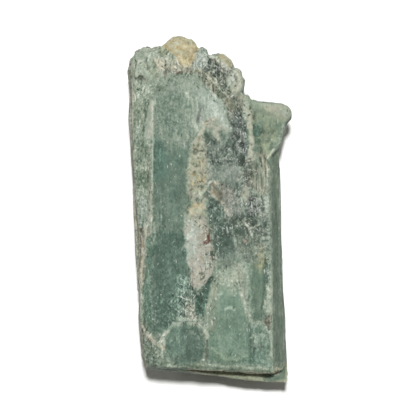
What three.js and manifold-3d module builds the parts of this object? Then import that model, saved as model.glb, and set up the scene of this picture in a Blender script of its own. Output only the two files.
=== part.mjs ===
// Raw green kyanite: one stubby crystal of intergrown blades, lying on a cleavage face.
// Millimetres, +Z up. The blades run along Y, the broad cleavage face looks up, and the
// origin is the middle of the footprint, on the surface that the crystal rests on.
import * as THREE from "three";
import { mergeVertices } from "three/addons/utils/BufferGeometryUtils.js";
import Module from "manifold-3d";

// Driving dimensions.
const FACE = 12.1; // height of the broad upper cleavage face
const FIELD = 11.6; // height of the rough ground that the upper plates stand on
const PLATE_FOOT = 10.6; // level inside the stone from which the upper plates rise
const PLATE_DRAFT = 0.35; // how far a plate's top edge is drawn in from its foot
const RAGGED_STEP = 2.2; // spacing of the breaks along a ragged edge
const RAGGED_REACH = 0.3; // how far a break stands out of or into the edge

const wasm = await Module();
wasm.setup();

// A small repeatable random source, so that every build gives the same crystal.
function randomFrom(seed) {
  let state = seed >>> 0;
  return (low = 0, high = 1) => {
    state = (state + 0x6d2b79f5) >>> 0;
    let t = Math.imul(state ^ (state >>> 15), state | 1);
    t ^= t + Math.imul(t ^ (t >>> 7), t | 61);
    return low + (high - low) * (((t ^ (t >>> 14)) >>> 0) / 4294967296);
  };
}

// ---------------------------------------------------------------- solids and geometry

function welded(geometry) {
  const bare = geometry.index ? geometry.toNonIndexed() : geometry.clone();
  bare.deleteAttribute("normal");
  bare.deleteAttribute("uv");
  return mergeVertices(bare, 1e-4);
}

function solidOf(geometry) {
  const closed = welded(geometry);
  return new wasm.Manifold(
    new wasm.Mesh({
      numProp: 3,
      vertProperties: new Float32Array(closed.attributes.position.array),
      triVerts: new Uint32Array(closed.index.array),
    }),
  );
}

function geometryOf(solid) {
  const { numProp, numVert, vertProperties, triVerts } = solid.getMesh();
  const points = new Float32Array(numVert * 3);
  for (let i = 0; i < numVert; i++) {
    points.set(vertProperties.subarray(i * numProp, i * numProp + 3), i * 3);
  }
  const geometry = new THREE.BufferGeometry();
  geometry.setAttribute("position", new THREE.BufferAttribute(points, 3));
  geometry.setIndex(new THREE.BufferAttribute(triVerts, 1));
  return geometry;
}

const joined = (first, rest) => rest.reduce((sum, solid) => sum.add(solid), first);
const carved = (first, rest) => rest.reduce((left, solid) => left.subtract(solid), first);

// ---------------------------------------------------------------- outlines

function signedArea(outline) {
  return THREE.ShapeUtils.area(outline.map(([x, y]) => new THREE.Vector2(x, y)));
}

function anticlockwise(outline) {
  return signedArea(outline) < 0 ? [...outline].reverse() : outline;
}

// The outline with each corner moved inwards along its bisector.
function inset(outline, by) {
  const count = outline.length;
  return outline.map(([x, y], i) => {
    const [px, py] = outline[(i + count - 1) % count];
    const [nx, ny] = outline[(i + 1) % count];
    const before = new THREE.Vector2(x - px, y - py).normalize();
    const after = new THREE.Vector2(nx - x, ny - y).normalize();
    const bisector = new THREE.Vector2(-before.y - after.y, before.x + after.x).normalize();
    const spread = Math.max(0.5, bisector.dot(new THREE.Vector2(-before.y, before.x)));
    return [x + (bisector.x * by) / spread, y + (bisector.y * by) / spread];
  });
}

// The outline with extra points along its edges, each a little off the line.
function ragged(outline, seed, reach = RAGGED_REACH, step = RAGGED_STEP) {
  const random = randomFrom(seed);
  const points = [];
  outline.forEach(([x, y], i) => {
    const [nx, ny] = outline[(i + 1) % outline.length];
    const length = Math.hypot(nx - x, ny - y);
    const pieces = Math.max(1, Math.round(length / step));
    points.push([x, y]);
    for (let k = 1; k < pieces; k++) {
      const along = (k + random(-0.3, 0.3)) / pieces;
      const off = random(-reach, reach);
      points.push([
        x + (nx - x) * along - ((ny - y) / length) * off,
        y + (ny - y) * along + ((nx - x) / length) * off,
      ]);
    }
  });
  return points;
}

// ---------------------------------------------------------------- shapes

// A plate or blade: an outline between two levels. Its top can slope and be drawn in.
function plate(outline, low, high, { draft = PLATE_DRAFT, slope = [0, 0] } = {}) {
  const foot = anticlockwise(outline);
  const head = inset(foot, draft);
  const key = (x, y) => `${Math.fround(x).toFixed(3)} ${Math.fround(y).toFixed(3)}`;
  const headOf = new Map(foot.map(([x, y], i) => [key(x, y), head[i]]));
  const middle = new THREE.Box2()
    .setFromPoints(foot.map(([x, y]) => new THREE.Vector2(x, y)))
    .getCenter(new THREE.Vector2());
  const shape = new THREE.Shape(foot.map(([x, y]) => new THREE.Vector2(x, y)));
  const geometry = new THREE.ExtrudeGeometry(shape, { depth: 1, bevelEnabled: false });
  const place = geometry.attributes.position;
  for (let i = 0; i < place.count; i++) {
    const x = place.getX(i);
    const y = place.getY(i);
    if (place.getZ(i) < 0.5) {
      place.setXYZ(i, x, y, low);
      continue;
    }
    const [hx, hy] = headOf.get(key(x, y));
    const rise = slope[0] * (hx - middle.x) + slope[1] * (hy - middle.y);
    place.setXYZ(i, hx, hy, high + rise);
  }
  return solidOf(geometry);
}

// A lump: an icosahedron stretched to its radii, turned, with its corners moved in or out.
function lump(centre, radii, seed, { detail = 1, roughness = 0.25 } = {}) {
  const random = randomFrom(seed);
  const geometry = welded(new THREE.IcosahedronGeometry(1, detail));
  const place = geometry.attributes.position;
  const turn = new THREE.Euler(random(0, 6), random(0, 6), random(0, 6));
  const point = new THREE.Vector3();
  for (let i = 0; i < place.count; i++) {
    const size = 1 + random(-roughness, roughness) / 2;
    point.fromBufferAttribute(place, i).applyEuler(turn).multiplyScalar(size);
    place.setXYZ(
      i,
      centre[0] + point.x * radii[0],
      centre[1] + point.y * radii[1],
      centre[2] + point.z * radii[2],
    );
  }
  return solidOf(geometry);
}

// A long lath, drawn in at both ends, turned in plan by a few degrees.
function lath([x, y, z], [width, length, height], { turn = 0, tilt = 0 } = {}) {
  const geometry = new THREE.BoxGeometry(width, length, height, 1, 2, 1);
  const place = geometry.attributes.position;
  for (let i = 0; i < place.count; i++) {
    if (Math.abs(place.getY(i)) < 0.01) continue;
    place.setX(i, place.getX(i) * 0.55);
    place.setZ(i, place.getZ(i) * 0.8);
  }
  geometry.rotateY(THREE.MathUtils.degToRad(tilt));
  geometry.rotateZ(THREE.MathUtils.degToRad(turn));
  geometry.translate(x, y, z);
  return solidOf(geometry);
}

// All that lies on the outer side of the plane through a point, as a block to cut away.
function beyond(point, normal, reach = 90) {
  const geometry = new THREE.BoxGeometry(reach, reach, reach);
  geometry.translate(0, 0, reach / 2);
  const up = new THREE.Vector3(0, 0, 1);
  const out = new THREE.Vector3(...normal).normalize();
  geometry.applyQuaternion(new THREE.Quaternion().setFromUnitVectors(up, out));
  geometry.translate(...point);
  return solidOf(geometry);
}

// Grains of crust scattered on both sides of a path.
function crust(path, halfWidth, count, level, seed, [small, large] = [0.45, 0.9]) {
  const random = randomFrom(seed);
  const line = new THREE.CatmullRomCurve3(path.map(([x, y]) => new THREE.Vector3(x, y, 0)));
  return Array.from({ length: count }, (_, i) => {
    const spot = line.getPoint(random(0, 1));
    const size = random(small, large);
    const centre = [
      spot.x + random(-halfWidth, halfWidth),
      spot.y + random(-halfWidth, halfWidth),
      level + random(-0.25, 0.1),
    ];
    const radii = [size * random(0.7, 1.1), size * random(0.8, 1.4), size * 0.6];
    return lump(centre, radii, seed * 131 + i, { detail: 0, roughness: 0.5 });
  });
}

// ---------------------------------------------------------------- the body

// The crystal in plan, without the horn on its right shoulder.
const BODY = [
  [-13.2, 22.7], [-12.8, 24.8], [-11.4, 25.9], [-9.3, 26.2], [-7.4, 27.0], [-5.8, 27.6],
  [-4.2, 27.7], [-3.0, 27.2], [-1.9, 26.2], [-0.8, 25.2], [2.3, 25.5], [3.6, 24.4],
  [4.3, 22.4], [5.1, 20.4], [5.7, 18.8], [6.0, 16.8], [6.4, 13.6], [6.9, 11.8],
  [8.8, 11.2], [11.2, 10.2], [11.2, 7.7], [11.35, 5.0], [11.4, 1.3], [11.4, -4.0],
  [11.35, -10.0], [11.8, -14.0], [12.1, -18.0], [12.25, -24.0], [12.3, -26.4], [12.1, -27.3],
  [9.3, -27.2], [6.4, -26.9], [3.2, -26.5], [-0.8, -26.1], [-5.3, -25.6],
  [-10.3, -25.2], [-10.9, -23.2], [-11.0, -21.0], [-11.3, -17.0], [-11.5, -9.0],
  [-11.65, -3.5], [-12.15, 1.0], [-12.35, 5.0], [-12.8, 12.0],
];
const HALF_WIDTH = 12.4;
const HALF_LENGTH = 27;

// The ledge at the lower end opens towards the right: the share of its depth that shows in
// the middle of the crystal, and what each millimetre to the right adds.
const LEDGE_IN_MIDDLE = 0.45;
const LEDGE_PER_MM = 0.065;

// The cleavage slabs, from the bottom up: the levels of each, and how far it stands back
// from the plan along the sides, at the lower end, at the broken upper end, and where the
// ledge opens.
const SLABS = [
  { low: 0, high: 1.5, sides: 1.7, foot: 2.4, head: 3.6, ledge: 0 },
  { low: 1.3, high: 2.6, sides: 1.0, foot: 1.5, head: 2.6, ledge: 0 },
  { low: 2.4, high: 4.1, sides: 0.35, foot: 0.5, head: 1.5, ledge: 0 },
  { low: 3.9, high: 5.4, sides: 0.05, foot: 0.15, head: 1.0, ledge: 0 },
  { low: 5.2, high: 6.7, sides: 0.2, foot: 0.25, head: 0.5, ledge: 0 },
  { low: 6.5, high: 7.7, sides: 0.0, foot: 0.0, head: 0.2, ledge: 0 },
  { low: 7.5, high: 8.8, sides: 0.45, foot: 0.3, head: 0.1, ledge: 1.6 },
  { low: 8.6, high: 10.2, sides: 0.3, foot: 0.2, head: 0.4, ledge: 1.3 },
  { low: 10.0, high: FIELD, sides: 0.4, foot: 0.1, head: 1.0, ledge: 1.0 },
];

function slab({ low, high, sides, foot, head, ledge }, index) {
  const outline = BODY.map(([x, y]) => {
    const opening = ledge * Math.max(0, LEDGE_IN_MIDDLE + LEDGE_PER_MM * x);
    const back = y < 0 ? foot + opening : head;
    return [x * (1 - sides / HALF_WIDTH), y * (1 - back / HALF_LENGTH)];
  });
  return plate(ragged(outline, 11 + index, 0.22, 4), low, high, { draft: 0.12 });
}

function body() {
  const [lowest, ...others] = SLABS.map(slab);
  return carved(joined(lowest, others), [
    // the upper left and right long faces
    beyond([-9.2, 0, FIELD + 0.25], [-0.5, 0, 0.87]),
    beyond([9.35, 0, FIELD], [0.86, 0.02, 0.5]),
    // the undercut corners of the foot
    beyond([-11.4, 0, 1.9], [-0.8, 0.03, -0.6]),
    beyond([-8.8, -23.6, 4.0], [-0.5, -0.56, -0.66]),
    beyond([10.2, 19.0, 4.0], [0.75, 0.45, -0.5]),
    // the right shoulder, falling away to the horn
    beyond([9.4, 7.7, FIELD - 0.7], [0.35, 0.25, 0.9]),
    // the broken upper end, falling away to the back
    beyond([0, 22.6, FIELD - 0.3], [0.1, 0.4, 0.9]),
    beyond([3.6, 19.5, FIELD - 1.0], [0.55, 0.25, 0.8]),
  ]);
}

// Thin ribs that run the length of the right long face.
function ribs() {
  return [
    lath([10.1, -8.0, 10.1], [0.8, 32, 0.5], { turn: 1.2, tilt: 60 }),
    lath([10.9, -6.0, 8.6], [0.7, 30, 0.5], { turn: 1.2, tilt: 60 }),
    lath([11.5, -15.0, 7.5], [0.6, 20, 0.5], { turn: 1.4, tilt: 60 }),
    lath([11.4, -12.0, 5.7], [0.6, 26, 0.7], { turn: 1.4 }),
    lath([-11.8, 2.0, 8.2], [0.7, 30, 0.6], { turn: 1.9 }),
    lath([-11.2, -10.0, 3.4], [0.6, 22, 0.5], { turn: 1.2 }),
  ];
}

// ---------------------------------------------------------------- the upper plates

const UPPER_PLATE = [
  [-9.0, 18.6], [-7.0, 19.8], [-4.4, 21.4], [-1.5, 21.5], [-0.3, 18.8], [1.6, 16.6],
  [3.0, 14.4], [3.6, 12.2], [3.5, 10.7], [1.9, 9.2], [0.7, 10.6], [-0.7, 11.8],
  [-1.8, 10.3], [-2.4, 8.9], [-2.7, 6.0], [-3.0, 2.8], [-3.3, 0.1], [-3.8, -2.5],
  [-4.0, -5.3], [-5.8, -4.8], [-8.0, -4.8], [-9.1, -5.5], [-9.0, 7.6],
];
const LOWER_PLATE = [
  [-9.5, -3.5], [-7.8, -1.7], [-4.3, -1.7], [-3.8, -5.1], [-3.3, -8.7], [-2.7, -11.8], [-4.1, -14.4],
  [-4.8, -17.0], [-6.6, -19.2], [-8.5, -20.6], [-9.7, -18.6], [-10.3, -14.7], [-10.3, -10.0],
];
const QUARTZ = [
  [-3.3, -1.7], [-1.0, -1.1], [-0.4, -4.4], [0.4, -6.8], [0.8, -8.7], [-0.2, -10.9],
  [-1.5, -12.6], [-2.5, -11.7], [-3.2, -9.2], [-3.7, -6.0], [-3.8, -3.3],
];
const TONGUE = [
  [0.7, -9.1], [1.4, -7.9], [2.8, -7.7], [3.7, -9.1], [4.4, -11.8], [5.2, -14.9],
  [6.0, -18.7], [6.4, -22.7], [6.4, -24.9], [4.0, -24.7], [0.4, -24.3], [-0.3, -22.7],
  [-0.5, -18.7], [-0.1, -14.7], [0.4, -11.8],
];
const TONGUE_FLANK = [
  [2.2, -8.3], [4.6, -7.7], [5.7, -11.5], [6.1, -15.5], [6.8, -19.4], [4.8, -19.0], [3.4, -12.0],
];
const LONG_FACET = [
  [6.5, -8.5], [7.6, -7.4], [8.3, -8.7], [8.5, -12.3], [8.2, -16.3], [7.5, -18.5],
  [6.7, -17.0], [6.1, -13.1],
];
const PALE_STRIP = [
  [8.6, -12.2], [9.2, -12.0], [9.5, -14.7], [9.5, -18.2], [8.9, -17.6], [8.4, -14.7],
];
const CORNER_FACET = [[6.8, -19.6], [8.9, -19.3], [9.5, -21.1], [9.6, -25.3], [6.8, -25.0]];
const LEFT_SPALL = [[-9.4, 17.4], [-9.1, 16.6], [-9.1, 9.7], [-10.7, 9.5], [-10.5, 12.2]];
const FOOT_LEDGE = [
  [-7.0, -22.2], [-1.1, -22.6], [-0.1, -25.1], [-3.5, -25.1], [-8.8, -24.8], [-9.4, -23.6],
];

// The bed of crust and quartz between the plates on the left and the rough field.
const MIDDLE_BED = [
  [-3.5, 12.6], [-0.5, 12.2], [-0.8, 8.5], [-1.0, 4.5], [-0.9, 0.3], [-0.8, -2.1], [0.1, -4.7],
  [0.9, -8.1], [1.4, -10.5], [0.3, -12.0], [-1.5, -13.6], [-3.5, -13.8], [-4.5, -12.0],
  [-4.9, -5.5], [-8.8, -5.7], [-9.0, -2.7], [-4.7, -2.5], [-4.5, 1.5], [-4.1, 5.9], [-3.7, 9.5],
];

// The round facet by the lower left corner.
const SCALLOP = Array.from({ length: 14 }, (_, i) => {
  const angle = (i / 14) * 2 * Math.PI;
  return [-3.7 + 3.2 * Math.cos(angle), -21.6 + 3.15 * Math.sin(angle)];
});

function upperPlates() {
  const low = PLATE_FOOT;
  return [
    plate(ragged(MIDDLE_BED, 37, 0.15), low, FIELD + 0.2, { draft: 0.5 }),
    plate(ragged(UPPER_PLATE, 31), low, FACE - 0.05, { slope: [-0.02, -0.008] }),
    plate(ragged(LOWER_PLATE, 32), low, FACE - 0.15, { draft: 0.8, slope: [0.01, 0.005] }),
    plate(ragged(TONGUE, 33), low, FACE - 0.15, { draft: 1.1, slope: [-0.04, -0.01] }),
    plate(TONGUE_FLANK, low, FIELD + 0.2, { draft: 0.4, slope: [0.03, 0] }),
    plate(ragged(LONG_FACET, 34), low, FIELD + 0.1, { draft: 0.3, slope: [-0.1, 0.02] }),
    plate(ragged(CORNER_FACET, 35), low, FIELD + 0.25, { draft: 0.4, slope: [-0.06, 0.02] }),
    plate(PALE_STRIP, low, FIELD + 0.05, { draft: 0.2, slope: [-0.3, 0] }),
    plate(FOOT_LEDGE, low, FIELD + 0.15, { draft: 0.4 }),
    plate(LEFT_SPALL, FIELD - 2.4, FACE - 0.45, { draft: 0.1, slope: [0.42, 0] }),
    plate(ragged(QUARTZ, 36), low, FACE - 0.3, { draft: 0.7 }),
    plate(ragged(SCALLOP, 38, 0.1), low, FIELD + 0.25, { draft: 0.7, slope: [0, 0.03] }),
  ];
}

// The lip that stands along the left edge of the broad face.
function leftLip() {
  return [
    lath([-9.15, 6.5, FACE - 0.2], [0.7, 23, 0.9], { turn: -0.3 }),
    lath([-9.85, -10.5, FACE - 0.9], [0.8, 16, 0.9], { turn: 2.2 }),
  ];
}

// Low rounded swellings of the quartz, the tongue and the rough field.
function swellings() {
  return [
    lump([-2.2, -8.0, FACE - 1.1], [1.5, 3.6, 1.0], 42, { detail: 2, roughness: 0.1 }),
    lump([2.4, -20.6, FACE - 1.4], [3.0, 4.6, 1.4], 43, { detail: 2, roughness: 0.05 }),
    lump([1.5, 3.6, FIELD - 0.7], [1.7, 2.2, 1.0], 44, { roughness: 0.3 }),
    lump([5.3, 1.8, FIELD - 0.5], [0.8, 1.4, 0.7], 45),
    lump([7.4, 4.0, FIELD - 1.2], [1.6, 4.2, 1.3], 46, { roughness: 0.3 }),
    lump([4.6, -2.8, FIELD - 0.7], [2.4, 1.2, 0.9], 47, { roughness: 0.4 }),
    lump([2.6, 7.4, FIELD - 0.9], [2.0, 2.4, 1.1], 48, { roughness: 0.3 }),
  ];
}

// ---------------------------------------------------------------- the broken upper end

const UPPER_LEFT_BLOCK = [
  [-12.5, 20.0], [-12.6, 23.0], [-12.0, 24.8], [-10.6, 25.6], [-8.4, 25.7], [-6.6, 25.2],
  [-6.2, 21.6], [-9.1, 19.8],
];

function upperEnd() {
  return [
    plate(ragged(UPPER_LEFT_BLOCK, 51), 6, FIELD - 0.1, { draft: 0.8, slope: [0.04, -0.2] }),
    lump([-4.7, 25.0, 9.3], [3.2, 2.9, 2.3], 52, { detail: 2, roughness: 0.22 }),
    lump([-5.6, 22.8, 10.7], [2.6, 1.7, 1.0], 53, { roughness: 0.4 }),
    lump([-1.5, 23.9, 9.5], [1.5, 2.2, 2.2], 54, { roughness: 0.35 }),
    lump([3.7, 20.0, 8.6], [2.0, 3.0, 2.6], 55, { detail: 2, roughness: 0.25 }),
    lump([1.8, 23.4, 8.0], [1.8, 1.8, 1.9], 56, { roughness: 0.3 }),
    lump([-10.0, 23.8, 8.0], [2.9, 2.6, 2.6], 57, { roughness: 0.3 }),
    lump([-6.5, 24.7, 6.2], [4.4, 2.5, 2.6], 58, { detail: 2, roughness: 0.3 }),
    lump([0.6, 22.9, 5.2], [3.6, 2.4, 2.8], 59, { detail: 2, roughness: 0.3 }),
    lump([5.7, 16.2, 9.6], [1.0, 2.4, 1.6], 60, { roughness: 0.3 }),
    lump([6.2, 12.2, 9.9], [0.8, 2.8, 1.4], 61, { roughness: 0.3 }),
  ];
}

// ---------------------------------------------------------------- the horn

// A blade that flares out of the right shoulder, with a scooped face and a rolled upper lip.
const HORN = [
  [5.0, 18.0], [6.9, 17.8], [8.4, 17.5], [9.9, 17.3], [11.6, 17.2], [12.6, 16.6], [13.2, 15.5],
  [13.2, 14.7], [12.6, 14.2], [12.4, 13.4], [12.2, 12.6], [11.9, 11.6], [11.7, 10.6],
  [11.2, 9.6], [10.4, 8.6], [9.45, 7.0], [8.0, 6.0], [5.0, 8.0],
];
const HORN_LIP = [
  [5.4, 18.1], [7.0, 17.9], [8.4, 17.6], [9.9, 17.4], [11.6, 17.3], [12.7, 16.7], [13.2, 15.5],
  [13.1, 14.7], [12.5, 14.0], [11.4, 13.7], [10.0, 14.2], [8.2, 14.8], [6.4, 15.2],
];

function horn() {
  const blade = plate(HORN, 1.8, 10.6, { draft: 0.4, slope: [-0.02, 0.01] });
  const shaped = carved(blade, [
    beyond([10.4, 8.0, 2.6], [0.75, 0.2, -0.62]),
    beyond([11.6, 16.0, 6.4], [0.6, 0.4, -0.7]),
    beyond([8.0, 16.6, 6.0], [0.0, 0.8, -0.6]),
    // the scoop in its face
    lump([9.0, 11.8, 14.8], [4.4, 5.6, 4.6], 71, { detail: 2, roughness: 0.02 }),
  ]);
  return joined(shaped, [
    plate(ragged(HORN_LIP, 74, 0.12), 8.0, 10.8, { draft: 0.9, slope: [0, 0.05] }),
    lump([11.9, 15.3, 9.8], [1.15, 1.3, 1.25], 73, { detail: 2, roughness: 0.1 }),
  ]);
}

// ---------------------------------------------------------------- what is broken away

// The dark trench from the upper end down to the middle of the right side.
const TRENCH = [
  [-0.7, 22.1], [1.6, 22.2], [3.8, 17.2], [5.1, 13.4], [5.6, 9.1], [5.4, 6.7], [4.2, 6.5],
  [3.6, 9.5], [3.9, 12.6], [2.4, 16.0], [0.5, 18.4],
];
// The dark facet between the quartz and the tongue.
const NOTCH = [
  [0.5, -10.7], [0.4, -12.2], [0.1, -13.8], [-0.4, -15.2], [-1.0, -16.6], [-2.0, -16.2],
  [-2.0, -13.4], [-1.0, -13.2], [-0.5, -11.8],
];

function hollows() {
  const shallow = FIELD - 0.35;
  const clear = FACE + 2;
  return [
    plate(ragged(TRENCH, 87, 0.35, 1.8), shallow, clear, { draft: -0.9 }),
    plate(ragged(NOTCH, 88, 0.15), shallow, clear, { draft: -0.6 }),
    lump([-11.1, 20.8, FIELD], [0.5, 0.6, 0.8], 81),
    lump([9.8, -25.9, FIELD - 1.4], [0.9, 1.1, 1.0], 82),
    lump([2.6, -4.8, FIELD + 0.6], [2.2, 2.8, 0.9], 83, { detail: 2, roughness: 0.2 }),
    lump([6.6, -1.8, FIELD + 0.6], [1.8, 2.2, 0.8], 84, { roughness: 0.4 }),
    lump([4.0, 6.2, FIELD + 0.6], [2.0, 2.8, 0.8], 85, { roughness: 0.4 }),
    lump([-10.9, -24.4, FIELD + 0.4], [1.8, 1.7, 1.5], 86, { roughness: 0.3 }),
  ];
}

// ---------------------------------------------------------------- the whole crystal

function crystal() {
  const upperParts = [...leftLip(), ...upperPlates(), ...swellings(), ...upperEnd()];
  const whole = joined(body(), [...ribs(), horn(), ...upperParts]);
  const broken = joined(carved(whole, hollows()), [
    ...crust([[-1.7, 12.4], [-2.0, 9.3], [-2.2, 5.3], [-2.1, 1.3], [-2.2, -1.1]], 0.7, 24, FIELD + 0.1, 91),
    ...crust([[-9.8, -21.0], [-8.6, -22.2], [-7.6, -23.6]], 1.0, 12, FIELD - 0.2, 92),
    ...crust([[5.9, 16.6], [6.2, 13.0], [6.4, 9.2]], 0.4, 12, FIELD - 0.6, 93),
    ...crust([[-11.4, 22.6], [-8.4, 23.8], [-5.0, 23.6]], 1.2, 14, FIELD - 0.7, 94),
    ...crust([[1.8, 5.0], [5.0, 2.0], [7.4, 0.0]], 1.6, 16, FIELD - 0.3, 95),
    ...crust([[-3.8, -14.0], [-3.0, -16.6], [-1.8, -18.2]], 1.0, 12, FIELD - 0.15, 96),
  ]);
  // the underside is one cleavage face
  return carved(broken, [beyond([0, 0, 0], [0, 0, -1])]);
}

const geometry = geometryOf(crystal());
geometry.computeBoundingBox();
const middle = geometry.boundingBox.getCenter(new THREE.Vector3());
geometry.translate(-middle.x, -middle.y, -geometry.boundingBox.min.z);

const kyanite = new THREE.Mesh(
  geometry,
  new THREE.MeshStandardMaterial({ color: 0x7c917f, roughness: 0.55, metalness: 0 }),
);
kyanite.name = "kyanite_crystal";

const part = new THREE.Group();
part.add(kyanite);

export default part;
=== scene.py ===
"""Raw green kyanite, dressed from its plain solid.

The solid's skin is made even, then worn, split and crusted by code, and each vertex learns which
mineral it belongs to. One material reads those minerals. Lengths named _mm are millimetres; the
scene itself is in metres.
"""

import math

import bmesh
import bpy
import numpy as np
from bpy.props import FloatProperty, FloatVectorProperty, PointerProperty
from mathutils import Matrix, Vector, noise


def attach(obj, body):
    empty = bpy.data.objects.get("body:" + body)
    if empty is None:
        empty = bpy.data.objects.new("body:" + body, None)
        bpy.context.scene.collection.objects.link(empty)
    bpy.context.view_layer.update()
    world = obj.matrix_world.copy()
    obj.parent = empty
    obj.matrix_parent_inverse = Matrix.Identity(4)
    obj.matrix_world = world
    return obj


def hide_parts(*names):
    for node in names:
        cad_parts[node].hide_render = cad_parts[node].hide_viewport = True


bl_info = {
    "name": "Raw Kyanite",
    "version": (1, 0, 0),
    "blender": (4, 5, 0),
    "location": "3D View > Sidebar > Kyanite",
    "description": "Weathered, crusted skin and mineral colours for a rough kyanite crystal",
    "category": "Object",
}

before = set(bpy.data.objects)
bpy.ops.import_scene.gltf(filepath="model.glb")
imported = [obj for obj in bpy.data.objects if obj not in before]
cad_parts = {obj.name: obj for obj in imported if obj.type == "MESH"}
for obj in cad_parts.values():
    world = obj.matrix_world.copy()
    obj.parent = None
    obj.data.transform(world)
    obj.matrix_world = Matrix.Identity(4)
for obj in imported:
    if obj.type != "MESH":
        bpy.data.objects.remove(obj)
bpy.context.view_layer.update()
NODE = "kyanite_crystal"
MM = 0.001

# The outlines below are drawn in plan, in millimetres, from an origin this far from the middle
# of the crystal's footprint.
PLAN_ORIGIN_MM = np.array([0.0, -0.35, 0.0])


def linear(hex_colour):
    """A six-digit sRGB hex colour as linear red, green and blue."""
    values = [int(hex_colour[i : i + 2], 16) / 255 for i in (0, 2, 4)]
    return tuple(v / 12.92 if v <= 0.04045 else ((v + 0.055) / 1.055) ** 2.4 for v in values)


# ------------------------------------------------------------------ where the minerals are

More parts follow.
